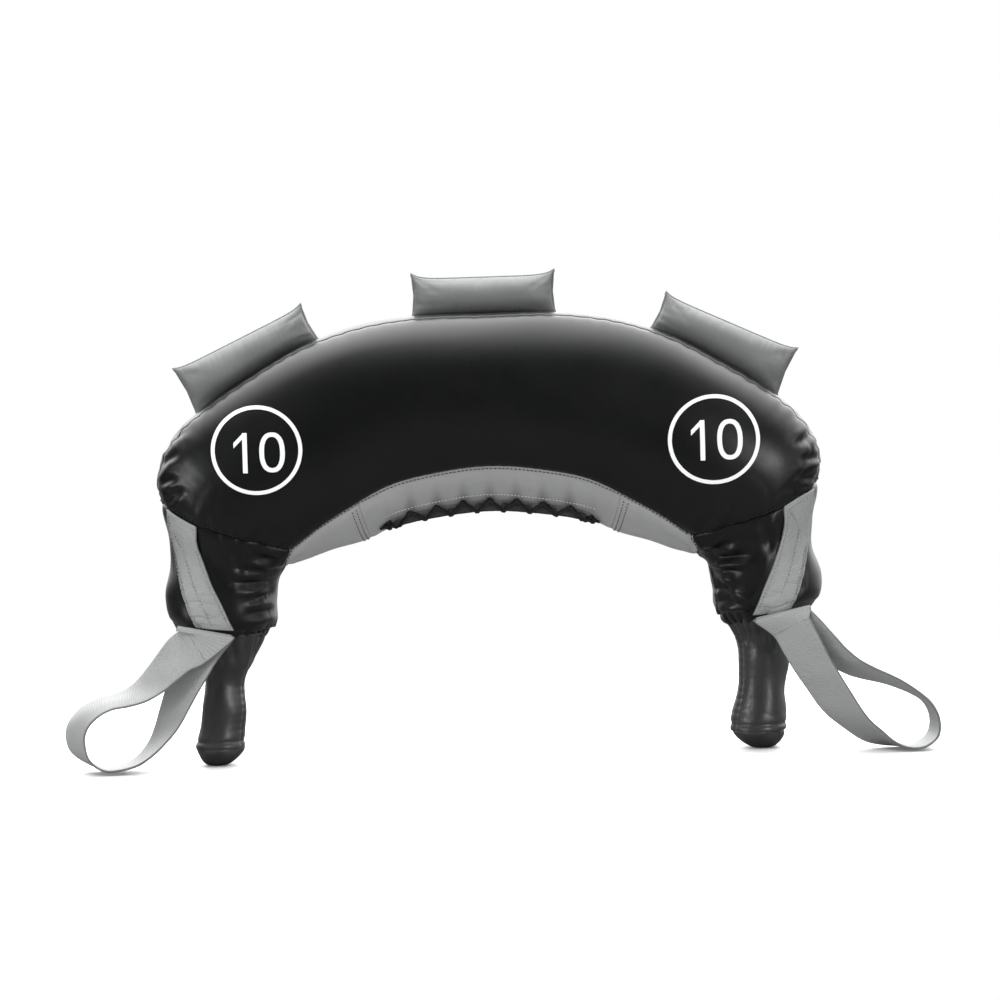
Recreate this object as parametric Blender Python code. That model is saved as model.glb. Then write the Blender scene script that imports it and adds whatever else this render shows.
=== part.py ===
# Sandbag trainer: a crescent of sewn vinyl panels over sand sacks, with a gathered cuff and a
# stuffed grip at each end, a webbing loop on each cuff and three stuffed pads along its outer edge.
# Metres, +X to the right, +Y away from the viewer, +Z up, origin on the floor under the middle.

from math import cos, pi, radians, sin, sqrt, tan

import bmesh
import bpy
import numpy as np
from mathutils import Matrix, Vector

# Crescent
BODY_HALF_WIDTH = 0.298
BODY_HEIGHT = 0.400
BODY_HALF_DEPTH = 0.082
VINYL = 0.001
SEAM_GAP = 0.0004
SACK_CLEARANCE = 0.0004
SACK_GAP = 0.0008

# Cuff mouths and grips
NECK_SHARES = (0.802, 0.270)
NECK_X = NECK_SHARES[0] * BODY_HALF_WIDTH
NECK_Z = NECK_SHARES[1] * BODY_HEIGHT
BALL_RADIUS = 0.0200
MOUTH_CLEARANCE = 0.0005
MOUTH_RISE = 0.006
GRIP_RADIUS = 0.0215
GRIP_BULGE = 0.001
GRIP_END_HEIGHT = 0.014
FOOT_RADIUS = 0.018
COVER_THICKNESS = 0.0015
CORE_CLEARANCE = 0.0003
LEFT_LEAN = 7.7
RIGHT_LEAN = -1.6

# Webbing straps and loops
WEBBING_WIDTH = 0.038
WEBBING_THICKNESS = 0.0025
STRAP_THICKNESS = 0.002
STRAP_GAP = 0.0008
FOLD_RADIUS = 0.0035
FOLD_GAP = 0.0006
LOOP_REACH = 0.393
LOOP_REST = 0.003

# Pads
PAD_HALF_LENGTH = 0.0645
PAD_HALF_THICKNESS = 0.017
PAD_EDGE_HALF = 0.0015
PAD_COVER = 0.0008
PAD_FILL_CLEARANCE = 0.0003
PAD_GAP = 0.00045
PAD_HINGE_RISE = 0.005
PAD_SAG = 0.0055
PAD_END_FULLNESS = 3.5
PAD_SIDE_FULLNESS = 2.2
PAD_SIDE_TAPER = 0.9
PAD_CROWDING_SHARE = 0.35
TOP_PAD_HEIGHT = 0.036
SIDE_PAD_SHARE = 0.28214
SIDE_PAD_HEIGHT = 0.036
SIDE_PAD_TILT = 25

# Laced opening
OPENING_SHARE = 0.359
LACE_HALF_LENGTH = OPENING_SHARE * BODY_HALF_WIDTH
LACE_PEAKS = 8
LACE_END_MARGIN = 0.02475
LACE_PITCH = 2 * (LACE_HALF_LENGTH - LACE_END_MARGIN) / (LACE_PEAKS - 1)
LACE_RADIUS = 0.0022
LACE_CLEARANCE = 0.0004
LACE_REACH = 0.013
LACE_END_SHARE = 0.7
LACE_ENTRY_SHARE = 1.35
LACE_CROSSING_SHARES = (0.30, 0.50, 0.70)
LACE_STEPS_SHARE = 1.4
DIP_HALF_WIDTH = 0.0036
DIP_DEPTH = 0.0048
SLOT_LENGTH = 0.0150
SLOT_WIDTH = 0.0090
SLIT_HALF_WIDTH = 0.0012
KNOT_RADIUS = 0.005
TONGUE_EDGE_SHARE = 0.5
TONGUE_FULLNESS = 4
TONGUE_RISE = 0.0075
TONGUE_THICKNESS = 0.0015

# Each station of the crescent, from its middle to the cuff: outer point and inner point as
# shares of the half width and the height, half depth as a share of the greatest one, and the
# lower front seam as shares of the section's height and half depth.
STATION_SHARES = (
    (0.000, 1.000, 0.000, 0.553, 1.000, 0.235, 0.70),
    (0.201, 0.999, 0.138, 0.545, 1.000, 0.225, 0.70),
    (0.386, 0.980, 0.268, 0.528, 1.000, 0.210, 0.69),
    (0.554, 0.939, 0.386, 0.496, 0.990, 0.180, 0.67),
    (0.701, 0.879, 0.477, 0.478, 0.970, 0.140, 0.64),
    (0.832, 0.817, 0.547, 0.460, 0.940, 0.100, 0.61),
    (0.940, 0.750, 0.594, 0.450, 0.890, 0.070, 0.58),
    (0.997, 0.665, 0.611, 0.446, 0.820, 0.050, 0.55),
    (0.990, 0.582, 0.621, 0.442, 0.745, 0.040, 0.52),
    (0.970, 0.515, 0.638, 0.425, 0.670, 0.067, 0.50),
    (0.970, 0.455, 0.648, 0.398, 0.635, 0.067, 0.50),
    (0.987, 0.390, 0.654, 0.368, 0.610, 0.067, 0.50),
    (0.984, 0.335, 0.665, 0.325, 0.570, 0.067, 0.50),
    (0.957, 0.303, 0.690, 0.298, 0.465, 0.067, 0.50),
)
CUFF_STATION = 8
MOUTH_STATION = len(STATION_SHARES)
CENTRE_STATION = 3
STEPS_PER_STATION = 2
ROUNDING_SHARES = (0.4643, 0.6786)

# The section's curves: gusset and front panel as Bezier handles in shares of height and depth.
GUSSET_SHARES = ((1.000, 0.00), (1.000, 0.16), (0.995, 0.33), (0.985, 0.49))
FRONT_START_SHARE = (0.900, 1.04)
FRONT_END_RISE_SHARE = 0.285
FRONT_END_DEPTH_SHARE = 1.20
INNER_START_SHARE = (0.47, 0.86)
INNER_END_SHARE = (0.00, 0.46)
CUFF_SEAM_ANGLES = (0, 27, 150, 180)

# Columns round the section: the gusset is 0 to 1, the front panel 1 to 2, the inner side 2 to 3.
GUSSET_STEPS = 2
FRONT_STEPS = 5
INNER_STEPS = 4

# Side strap: its top and its two lower corners as shares of the way down the crescent, and its
# outer and inner edge round the cuff's section at five steps down the strap.
STRAP_START_SHARE = 0.5893
STRAP_END_SHARES = (0.8571, 0.9000)
STRAP_OUTER_SHARES = (1.020, 0.985, 1.045, 1.110, 1.130)
STRAP_INNER_SHARES = (1.320, 1.325, 1.400, 1.540, 1.675)

# Loops, from the fold out and back: shares of the reach past the fold and of the fold's height,
# the twist in degrees from facing the viewer, and the place across the fold's radius.
LEFT_LOOP_SHARES = (
    (0.045, 0.930, 0, -1.0), (0.20, 0.839, 4, -0.9), (0.40, 0.652, 30, -0.7),
    (0.589, 0.525, 54, -0.4), (0.767, 0.477, 72, -0.2), (0.905, 0.415, 84, 0.0),
    (0.985, 0.328, 90, 0.0), (1.000, 0.242, 90, 0.0), (0.972, 0.150, 90, 0.0),
    (0.881, 0.065, 90, 0.0), (0.765, 0.010, 90, 0.0), (0.650, 0.000, 90, 0.0),
    (0.550, 0.105, 88, 0.0), (0.423, 0.242, 85, 0.1), (0.320, 0.367, 78, 0.3),
    (0.205, 0.540, 60, 0.6), (0.105, 0.680, 35, 0.8), (0.030, 0.815, 10, 1.0),
    (-0.010, 0.930, 0, 1.0),
)
RIGHT_LOOP_SHARES = (
    (0.045, 0.900, 0, -1.0), (0.179, 0.650, 12, -0.9), (0.285, 0.477, 30, -0.7),
    (0.391, 0.312, 42, -0.5), (0.524, 0.140, 62, -0.3), (0.665, 0.030, 80, 0.0),
    (0.780, 0.000, 90, 0.0), (0.883, 0.008, 90, 0.0), (0.968, 0.055, 90, 0.0),
    (1.000, 0.135, 90, 0.0), (0.976, 0.234, 90, 0.0), (0.904, 0.336, 88, 0.0),
    (0.792, 0.422, 86, 0.1), (0.665, 0.493, 84, 0.2), (0.538, 0.540, 82, 0.4),
    (0.433, 0.583, 72, 0.6), (0.359, 0.642, 60, 0.8), (0.296, 0.733, 42, 1.0),
    (0.208, 0.823, 20, 1.0), (0.100, 0.925, 5, 1.0),
)
LOOP_STEPS_PER_POINT = 3

# Grip profile below and above the neck's pivot: height as a share of the ball's radius, and the
# radius as a share of the ball's; the barrel below follows the grip's own radius.
BALL_TOP_SHARE = 0.55
BALL_BOTTOM_SHARE = -0.40
WAIST_SHARES = (-0.68, 0.90)
SHOULDER_SHARE = -1.50
BULGE_PLACE_SHARE = 0.70
ROUND_PIECE_SIDES = 18

FRONT = -1
BACK = 1


def remove_everything():
    for thing in list(bpy.data.objects):
        bpy.data.objects.remove(thing)


def new_collection(name):
    collection = bpy.data.collections.new(name)
    bpy.context.scene.collection.children.link(collection)
    return collection


def make_material(name, colour, roughness):
    material = bpy.data.materials.new(name)
    material.use_nodes = True
    shader = material.node_tree.nodes["Principled BSDF"]
    shader.inputs["Base Color"].default_value = (*colour, 1)
    shader.inputs["Roughness"].default_value = roughness
    return material


BLACK_VINYL = ((0.020, 0.021, 0.022), 0.38)
GREY_VINYL = ((0.20, 0.20, 0.21), 0.45)
INNER_VINYL = ((0.26, 0.26, 0.26), 0.5)
WEBBING = ((0.42, 0.42, 0.42), 0.85)
CORD = ((0.015, 0.015, 0.015), 0.7)
SACK_CLOTH = ((0.55, 0.50, 0.42), 0.9)
STUFFING = ((0.75, 0.74, 0.70), 0.95)


# Smooth curve through rows of values at whole steps of t, with a row before the first.
def smooth_rows(rows, t, before=None):
    rows = np.asarray(rows, float)
    t = np.asarray(t, float)
    first = 2 * rows[0] - rows[1] if before is None else before
    padded = np.vstack((first, rows, 2 * rows[-1] - rows[-2]))
    step = np.clip(np.floor(t).astype(int), 0, len(rows) - 2)
    f = (t - step)[..., None]
    p0, p1, p2, p3 = (padded[step + k] for k in range(4))
    return p1 + 0.5 * f * (p2 - p0 + f * (2 * p0 - 5 * p1 + 4 * p2 - p3 + f * (3 * (p1 - p2) + p3 - p0)))


def smooth_step(value, start, end):
    f = np.clip((value - start) / (end - start), 0, 1)
    return f * f * (3 - 2 * f)


def stations():
    scale = np.array((BODY_HALF_WIDTH, BODY_HEIGHT, BODY_HALF_WIDTH, BODY_HEIGHT, BODY_HALF_DEPTH, 1, 1))
    rows = [np.array(shares) * scale for shares in STATION_SHARES]
    mouth_radius = sqrt((BALL_RADIUS + MOUTH_CLEARANCE) ** 2 - MOUTH_RISE ** 2)
    mouth_z = NECK_Z + MOUTH_RISE
    seam = rows[-1][5:]
    outer_x, inner_x = NECK_X + mouth_radius, NECK_X - mouth_radius
    rows.append(np.array((outer_x, mouth_z, inner_x, mouth_z, mouth_radius, *seam)))
    return np.array(rows)


STATIONS = stations()
BEFORE_MIDDLE = STATIONS[1] * np.array((-1, 1, -1, 1, 1, 1, 1))


def bezier(handles, t):
    p0, p1, p2, p3 = handles
    rest = 1 - t
    return p0 * rest ** 3 + 3 * p1 * t * rest ** 2 + 3 * p2 * t ** 2 * rest + p3 * t ** 3


# Bezier handles of a circular arc between two angles, in shares of a section's height and depth.
def arc_handles(start, end):
    reach = 4 / 3 * tan((end - start) / 4)
    points = (
        (cos(start), sin(start)),
        (cos(start) - reach * sin(start), sin(start) + reach * cos(start)),
        (cos(end) + reach * sin(end), sin(end) - reach * cos(end)),
        (cos(end), sin(end)),
    )
    return [(0.5 + 0.5 * along, across) for along, across in points]


CUFF_HANDLES = [
    arc_handles(radians(start), radians(end)) for start, end in zip(CUFF_SEAM_ANGLES, CUFF_SEAM_ANGLES[1:])
]


# Shares of the section's height and half depth at column s, for the body and the cuff blended.
def section_shares(s, seam_height, seam_depth, roundness):
    body = [
        GUSSET_SHARES,
        (GUSSET_SHARES[-1], FRONT_START_SHARE, (seam_height + FRONT_END_RISE_SHARE, FRONT_END_DEPTH_SHARE),
         (seam_height, seam_depth)),
        ((seam_height, seam_depth), (seam_height * INNER_START_SHARE[0], seam_depth * INNER_START_SHARE[1]),
         (INNER_END_SHARE[0], seam_depth * INNER_END_SHARE[1]), (0, 0)),
    ]
    along = np.zeros(s.shape)
    across = np.zeros(s.shape)
    for index in range(3):
        inside = (s >= index) & (s <= index + 1)
        t = s - index
        for axis, result in ((0, along), (1, across)):
            body_value = bezier([handle[axis] for handle in body[index]], t)
            cuff_value = bezier([handle[axis] for handle in CUFF_HANDLES[index]], t)
            value = body_value + (cuff_value - body_value) * roundness
            result[inside] = value[inside]
    return along, across


# Point of the crescent's skin at station u (negative to the left) and column s (negative behind).
def skin_point(u, s):
    u, s = np.broadcast_arrays(np.asarray(u, float), np.asarray(s, float))
    s = np.where(s > 3, s - 6, np.where(s < -3, s + 6, s))
    row = smooth_rows(STATIONS, np.abs(u), BEFORE_MIDDLE)
    outer, inner = row[..., 0:2], row[..., 2:4]
    roundness = smooth_step(np.abs(u) / MOUTH_STATION, *ROUNDING_SHARES)
    along, across = section_shares(np.abs(s), row[..., 5], row[..., 6], roundness)
    place = inner + (outer - inner) * along[..., None]
    x = place[..., 0] * np.where(u < 0, -1, 1)
    y = across * row[..., 4] * np.where(s < 0, BACK, FRONT)
    return np.stack((x, y, place[..., 1]), -1)


DIFFERENCE = 0.05


# Outward normal of the skin, shared by both panels along their seam, so their walls meet in a mitre.
def skin_normal(u, s):
    along = skin_point(u + DIFFERENCE, s) - skin_point(u - DIFFERENCE, s)
    limit = np.abs(u) + DIFFERENCE > MOUTH_STATION
    inside = np.where(limit, u - np.sign(u) * DIFFERENCE, u)
    inward = (skin_point(u, s) - skin_point(inside, s)) * np.sign(u)[..., None]
    along = np.where(limit[..., None], inward, along)
    across = skin_point(u, s + DIFFERENCE) - skin_point(u, s - DIFFERENCE)
    normal = np.cross(across, along)
    return normal / np.linalg.norm(normal, axis=-1, keepdims=True)


def offset_skin(u, s, depth):
    return skin_point(u, s) - skin_normal(u, s) * np.asarray(depth)[..., None]


def columns(start, end):
    counts = (GUSSET_STEPS, FRONT_STEPS, INNER_STEPS)
    steps = [np.linspace(first, first + 1, count + 1) for first, count in enumerate(counts)]
    half = np.unique(np.concatenate(steps).round(6))
    whole = np.concatenate((-half[::-1], half, 6 - half[::-1]))
    whole = np.unique(whole.round(6))
    return whole[(whole >= start) & (whole <= end)]


# Moves a patch's first and last line in from its seams by half the seam gap.
def inset_lines(u, s):
    u_grid, s_grid = np.meshgrid(u, s, indexing="ij")
    half_gap = SEAM_GAP / 2
    for edge, inward in ((0, 1), (-1, -1)):
        probe = s_grid[:, edge] + inward * DIFFERENCE
        step = skin_point(u_grid[:, edge], probe) - skin_point(u_grid[:, edge], s_grid[:, edge])
        rate = np.linalg.norm(step, axis=-1)
        s_grid[:, edge] += inward * DIFFERENCE * half_gap / rate
    for edge, inward in ((0, 1), (-1, -1)):
        probe = u_grid[edge] + inward * DIFFERENCE
        step = skin_point(probe, s_grid[edge]) - skin_point(u_grid[edge], s_grid[edge])
        rate = np.linalg.norm(step, axis=-1)
        if abs(u[edge]) < MOUTH_STATION:
            u_grid[edge] += inward * DIFFERENCE * half_gap / rate
    return u_grid, s_grid


# Adds a grid of points as triangles, closed round its columns if it is a ring, and returns its
# vertices. Every sheet has the same diagonals, so a sack's facets lie along its skin's.
def add_sheet(mesh, points, ring=False):
    rows = [[mesh.verts.new(point) for point in row] for row in points]
    count = len(rows[0])
    for low, high in zip(rows, rows[1:]):
        for j in range(count if ring else count - 1):
            k = (j + 1) % count
            mesh.faces.new((low[j], low[k], high[k]))
            mesh.faces.new((low[j], high[k], high[j]))
    return rows


def bridge(mesh, first, second):
    for j in range(len(first)):
        k = (j + 1) % len(first)
        mesh.faces.new((first[j], first[k], second[k], second[j]))


def add_fan(mesh, loop):
    centre = mesh.verts.new(sum((vertex.co for vertex in loop), Vector()) / len(loop))
    for j in range(len(loop)):
        mesh.faces.new((loop[j], loop[(j + 1) % len(loop)], centre))


def border(rows):
    sides = [row[-1] for row in rows[1:-1]], [row[0] for row in rows[-2:0:-1]]
    return rows[0] + sides[0] + rows[-1][::-1] + sides[1]


def finish_object(mesh, name, collection, material):
    bmesh.ops.recalc_face_normals(mesh, faces=mesh.faces)
    data = bpy.data.meshes.new(name)
    mesh.to_mesh(data)
    mesh.free()
    data.shade_smooth()
    data.set_sharp_from_angle(angle=radians(40))
    data.materials.append(material)
    thing = bpy.data.objects.new(name, data)
    collection.objects.link(thing)
    return thing


# A sewn panel: the patch of skin between four seams, as thick as its vinyl.
def make_panel(name, u, s, collection, material, outside=0.0, thickness=VINYL):
    u_grid, s_grid = inset_lines(u, s)
    depth = np.broadcast_to(outside, u_grid.shape)
    mesh = bmesh.new()
    outer = add_sheet(mesh, offset_skin(u_grid, s_grid, depth))
    inner = add_sheet(mesh, offset_skin(u_grid, s_grid, depth + thickness))
    bridge(mesh, border(outer), border(inner))
    return finish_object(mesh, name, collection, material)


def steps_between(start, end):
    return np.linspace(start, end, round((end - start) * STEPS_PER_STATION) + 1)


# A cuff: one pouch all round the section, from its seam on the panels to its mouth round the neck.
def make_cuff(name, side, collection, material):
    u = np.sort(steps_between(CUFF_STATION, MOUTH_STATION) * side)
    seam = 0 if side > 0 else -1
    s = columns(-3, 3)[:-1]
    u_grid, s_grid = np.meshgrid(u, s, indexing="ij")
    step = skin_point(u_grid[seam] + side * DIFFERENCE, s) - skin_point(u_grid[seam], s)
    rate = np.linalg.norm(step, axis=-1)
    u_grid[seam] += side * DIFFERENCE * SEAM_GAP / 2 / rate
    mesh = bmesh.new()
    outer = add_sheet(mesh, offset_skin(u_grid, s_grid, np.zeros(u_grid.shape)), ring=True)
    inner = add_sheet(mesh, offset_skin(u_grid, s_grid, np.full(u_grid.shape, VINYL)), ring=True)
    bridge(mesh, outer[0], inner[0])
    bridge(mesh, outer[-1], inner[-1])
    return finish_object(mesh, name, collection, material)


# Height of the tongue over the lips' inner face: none along its sewn edges, full at the slit.
def tongue_rise(s):
    across = np.clip((3 - np.abs(s)) / (1 - TONGUE_EDGE_SHARE), 0, 1)
    return TONGUE_RISE * (1 - across ** TONGUE_FULLNESS)


# A fill sack: the whole section between two stations, just inside the skin, closed at both ends.
# The middle one leaves room for the tongue.
def make_sack(name, start, end, collection, material):
    s = columns(-3, 3)[:-1]
    u = steps_between(start, end)
    u_grid, s_grid = np.meshgrid(u, s, indexing="ij")
    depth = np.full(u_grid.shape, VINYL + SACK_CLEARANCE)
    if start < 0 < end:
        edge = 2 + TONGUE_EDGE_SHARE
        room = SEAM_GAP + TONGUE_THICKNESS + tongue_rise(s_grid)
        depth += room * np.interp(np.abs(s_grid), (edge - 1 / INNER_STEPS, edge), (0, 1))
    points = offset_skin(u_grid, s_grid, depth)
    for edge, neighbour in ((0, 1), (-1, -2)):
        rest = points[neighbour] - points[edge]
        size = np.linalg.norm(rest, axis=-1, keepdims=True)
        points[edge] += rest / size * np.minimum(SACK_GAP / 2, size / 4)
    mesh = bmesh.new()
    rows = add_sheet(mesh, points, ring=True)
    add_fan(mesh, rows[0])
    add_fan(mesh, rows[-1])
    return finish_object(mesh, name, collection, material)


# Station whose inner edge lies at a distance x from the middle, and column at a distance y
# from the slit there.
def station_at(x):
    u = np.linspace(0, CENTRE_STATION + 1, 200)
    return float(np.interp(abs(x), skin_point(u, 3)[:, 0], u)) * (1 if x > 0 else -1)


def column_at(u, y):
    s = np.linspace(2, 3, 200)
    places = skin_point(np.full(s.shape, abs(u)), s)[:, 1]
    return float(np.interp(-abs(y), places, s))


def lace_holes():
    middle = (LACE_PEAKS - 1) / 2
    holes = []
    for index in range(2 * LACE_PEAKS - 1):
        side = FRONT if index % 2 == 0 else BACK
        u = station_at((index / 2 - middle) * LACE_PITCH)
        holes.append((u, column_at(u, LACE_REACH), side))
    return holes


# Place, outward normal, direction along the slit and direction across it at a hole.
def hole_frame(u, s, side):
    u = np.array(u)
    s = np.array(-s * side)
    place = skin_point(u, s)
    normal = skin_normal(u, s)
    along = skin_point(u + DIFFERENCE, s) - skin_point(u - DIFFERENCE, s)
    along /= np.linalg.norm(along)
    return place, normal, along, np.cross(normal, along)


def cut_lace_slots(lips, cutters):
    for index, (u, s, side) in enumerate(lace_holes()):
        place, normal, along, across = hole_frame(u, s, side)
        mesh = bmesh.new()
        turn = Matrix([[*along], [*across], [*normal]]).transposed().to_4x4()
        size = Matrix.Diagonal((SLOT_LENGTH, SLOT_WIDTH, DIP_DEPTH * 2, 1))
        bmesh.ops.create_cube(mesh, size=1, matrix=Matrix.Translation(Vector(place)) @ turn @ size)
        bmesh.ops.recalc_face_normals(mesh, faces=mesh.faces)
        data = bpy.data.meshes.new(f"lace_slot_{index}")
        mesh.to_mesh(data)
        mesh.free()
        cutter = bpy.data.objects.new(f"lace_slot_{index}", data)
        cutter.hide_render = True
        cutter.display_type = "WIRE"
        cutters.objects.link(cutter)
        cut = lips[side].modifiers.new("slot", "BOOLEAN")
        cut.object = cutter
        cut.solver = "EXACT"


# Stations along the laced opening, its two ends moved out by a margin.
def closure_stations(margin):
    edge = station_at(LACE_HALF_LENGTH + margin)
    inside = steps_between(-CENTRE_STATION, CENTRE_STATION)
    inside = inside[np.abs(inside) < edge - 0.25 / STEPS_PER_STATION]
    return np.concatenate(([-edge], inside, [edge]))


# The flap behind the lace: it rests on the lips along both edges and rises clear of the cord.
def make_tongue(collection, material):
    across = columns(2 + TONGUE_EDGE_SHARE, 4 - TONGUE_EDGE_SHARE)
    u_grid, s_grid = np.meshgrid(closure_stations(-TONGUE_THICKNESS), across, indexing="ij")
    depth = VINYL + SEAM_GAP + tongue_rise(np.where(s_grid > 3, 6 - s_grid, s_grid))
    mesh = bmesh.new()
    outer = add_sheet(mesh, offset_skin(u_grid, s_grid, depth))
    inner = add_sheet(mesh, offset_skin(u_grid, s_grid, depth + TONGUE_THICKNESS))
    bridge(mesh, border(outer), border(inner))
    return finish_object(mesh, "closure_tongue", collection, material)


# The lace's route: across under the slit from lip to lip, and a short dip through each slot.
def lace_route():
    height = LACE_RADIUS + LACE_CLEARANCE
    holes = lace_holes()
    points = [lace_end(-1)]
    for index, (u, s, side) in enumerate(holes):
        place, normal, along, across = hole_frame(u, s, side)
        if index:
            last_u, last_s, last_side = holes[index - 1]
            for share in LACE_CROSSING_SHARES:
                between_u = last_u + (u - last_u) * share
                column = 3 - (3 - s) * abs(1 - 2 * share)
                here = last_side if share < 0.5 else side
                bottom = np.array(between_u), np.array(-column * here)
                points.append(skin_point(*bottom) + skin_normal(*bottom) * height)
        for way in (-1, 1):
            entry = place + along * DIP_HALF_WIDTH * LACE_ENTRY_SHARE * way + normal * height
            inside = place + along * DIP_HALF_WIDTH * way - normal * VINYL
            points += [entry, inside, place - normal * DIP_DEPTH] if way < 0 else [inside, entry]
    points.append(lace_end(1))
    return np.array(points)


def lace_end(side):
    u = station_at(side * (LACE_HALF_LENGTH - KNOT_RADIUS * 3))
    s = column_at(u, LACE_REACH * LACE_END_SHARE)
    place, normal, along, across = hole_frame(u, s, FRONT)
    return place + normal * (LACE_RADIUS + LACE_CLEARANCE)


def make_lace(collection, material):
    route = lace_route()
    t = np.linspace(0, len(route) - 1, int(len(route) * LACE_STEPS_SHARE))
    fine = smooth_rows(route, t)
    curve = bpy.data.curves.new("closure_lace", "CURVE")
    curve.dimensions = "3D"
    curve.bevel_depth = LACE_RADIUS
    curve.bevel_resolution = 1
    curve.use_fill_caps = True
    spline = curve.splines.new("POLY")
    spline.points.add(len(fine) - 1)
    for point, place in zip(spline.points, fine):
        point.co = (*place, 1)
    curve.materials.append(material)
    thing = bpy.data.objects.new("closure_lace", curve)
    collection.objects.link(thing)
    return thing


def make_knot(name, side, collection, material):
    end = lace_end(side)
    before = lace_route()[1 if side < 0 else -2]
    out = (end - before) / np.linalg.norm(end - before)
    centre = Vector(end + out * (KNOT_RADIUS + SEAM_GAP))
    lift = KNOT_RADIUS - LACE_RADIUS
    mesh = bmesh.new()
    bmesh.ops.create_icosphere(mesh, subdivisions=2, radius=KNOT_RADIUS,
                               matrix=Matrix.Translation(centre - Vector((0, 0, lift))))
    return finish_object(mesh, name, collection, material)


# Side strap: webbing sewn flat on the cuff's skin, its edges given by columns round the section.
def strap_grid(side, depth):
    v = np.linspace(0, 1, 9)
    steps = v * (len(STRAP_OUTER_SHARES) - 1)
    outer = smooth_rows(np.array(STRAP_OUTER_SHARES)[:, None], steps)[:, 0]
    inner = smooth_rows(np.array(STRAP_INNER_SHARES)[:, None], steps)[:, 0]
    w = np.linspace(0, 1, 7)
    s_grid = outer[:, None] + (inner - outer)[:, None] * w
    end = STRAP_END_SHARES[0] + (STRAP_END_SHARES[1] - STRAP_END_SHARES[0]) * w
    u_grid = (STRAP_START_SHARE + (end - STRAP_START_SHARE) * v[:, None]) * MOUTH_STATION * side
    return offset_skin(u_grid, s_grid, np.full(s_grid.shape, depth))


def make_strap(name, side, collection, material):
    mesh = bmesh.new()
    outer = add_sheet(mesh, strap_grid(side, -STRAP_GAP - STRAP_THICKNESS))
    inner = add_sheet(mesh, strap_grid(side, -STRAP_GAP))
    bridge(mesh, border(outer), border(inner))
    return finish_object(mesh, name, collection, material)


# The fold that a loop swings about lies just below the strap's lower edge and against the cuff.
def fold_frame(side):
    edge = strap_grid(side, -STRAP_GAP)[-1]
    first, last = edge[0], edge[-1]
    along = last - first if side < 0 else first - last
    along[1] = 0
    half = np.linalg.norm(along) / 2
    middle = (first + last) / 2
    reach = FOLD_RADIUS + WEBBING_THICKNESS / 2 + FOLD_GAP
    sag = np.max(np.linspace(first[2], last[2], len(edge)) - edge[:, 2])
    u = np.linspace(MOUTH_STATION, CUFF_STATION, 300) * side
    y = []
    for s, z in zip(np.linspace(STRAP_OUTER_SHARES[-1], STRAP_INNER_SHARES[-1], len(edge)), edge[:, 2]):
        cuff = skin_point(u, s)
        y.append(np.interp(z, cuff[:, 2], cuff[:, 1]))
    return np.array((middle[0], min(y) - reach, middle[2] - reach - sag)), along / (2 * half), half


# Centres and half-width vectors along one loop: over the fold, out, down to the floor and back.
def loop_rows(side, shares):
    middle, fold, fold_half = fold_frame(side)
    floor = WEBBING_THICKNESS / 2 + LOOP_REST
    reach = (LOOP_REACH - WEBBING_THICKNESS / 2 - abs(middle[0])) * side
    centres = [
        (middle[0] + reach * out, middle[1] + FOLD_RADIUS * across, floor + (middle[2] - floor) * up)
        for out, up, twist, across in shares
    ]
    centres = np.array(centres)
    tangents = np.gradient(centres, axis=0)
    tangents[:, 1] = 0
    tangents /= np.linalg.norm(tangents, axis=1, keepdims=True)
    flat = np.cross(tangents, (0, 1, 0))
    flat *= np.sign(flat @ fold)[:, None]
    widths = []
    for index, (out, up, twist, across) in enumerate(shares):
        turned = flat[index] * cos(radians(twist)) - np.array((0, sin(radians(twist)), 0))
        widths.append(turned * WEBBING_WIDTH / 2)
    turn = []
    for angle in (0, 45, 90, 135, 180):
        over = np.array((0, cos(radians(angle)), sin(radians(angle)))) * FOLD_RADIUS
        turn.append(middle + over)
    centres = np.vstack((centres, turn))
    widths = np.vstack((widths, [fold * fold_half] * len(turn)))
    return centres, widths


def make_loop(name, side, shares, collection, material):
    centres, widths = loop_rows(side, shares)
    count = len(centres)
    wrapped = np.vstack((centres[-2:], centres, centres[:3]))
    wrapped_widths = np.vstack((widths[-2:], widths, widths[:3]))
    t = np.arange(0, count, 1 / LOOP_STEPS_PER_POINT) + 2
    line = smooth_rows(wrapped, t)
    across = smooth_rows(wrapped_widths, t)
    tangents = smooth_rows(wrapped, t + DIFFERENCE) - smooth_rows(wrapped, t - DIFFERENCE)
    normals = np.cross(tangents, across)
    normals *= WEBBING_THICKNESS / 2 / np.linalg.norm(normals, axis=1, keepdims=True)
    mesh = bmesh.new()
    sections = np.stack((line + across + normals, line + across - normals, line - across - normals,
                         line - across + normals), 1)
    rows = add_sheet(mesh, sections, ring=True)
    bridge(mesh, rows[-1], rows[0])
    return finish_object(mesh, name, collection, material)


# One grip: rings about a leaning line below the neck's pivot, given as height and radius.
def grip_rings(side, lean, profile):
    angles = np.linspace(0, 2 * pi, ROUND_PIECE_SIDES, endpoint=False)
    rows = []
    for height, radius in profile:
        below = max(0, NECK_Z + BALL_RADIUS * WAIST_SHARES[0] - height)
        x = side * (NECK_X + below * tan(radians(lean)))
        level = np.full(angles.shape, height)
        rows.append(np.stack((x + radius * np.cos(angles), radius * np.sin(angles), level), 1))
    return rows


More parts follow.
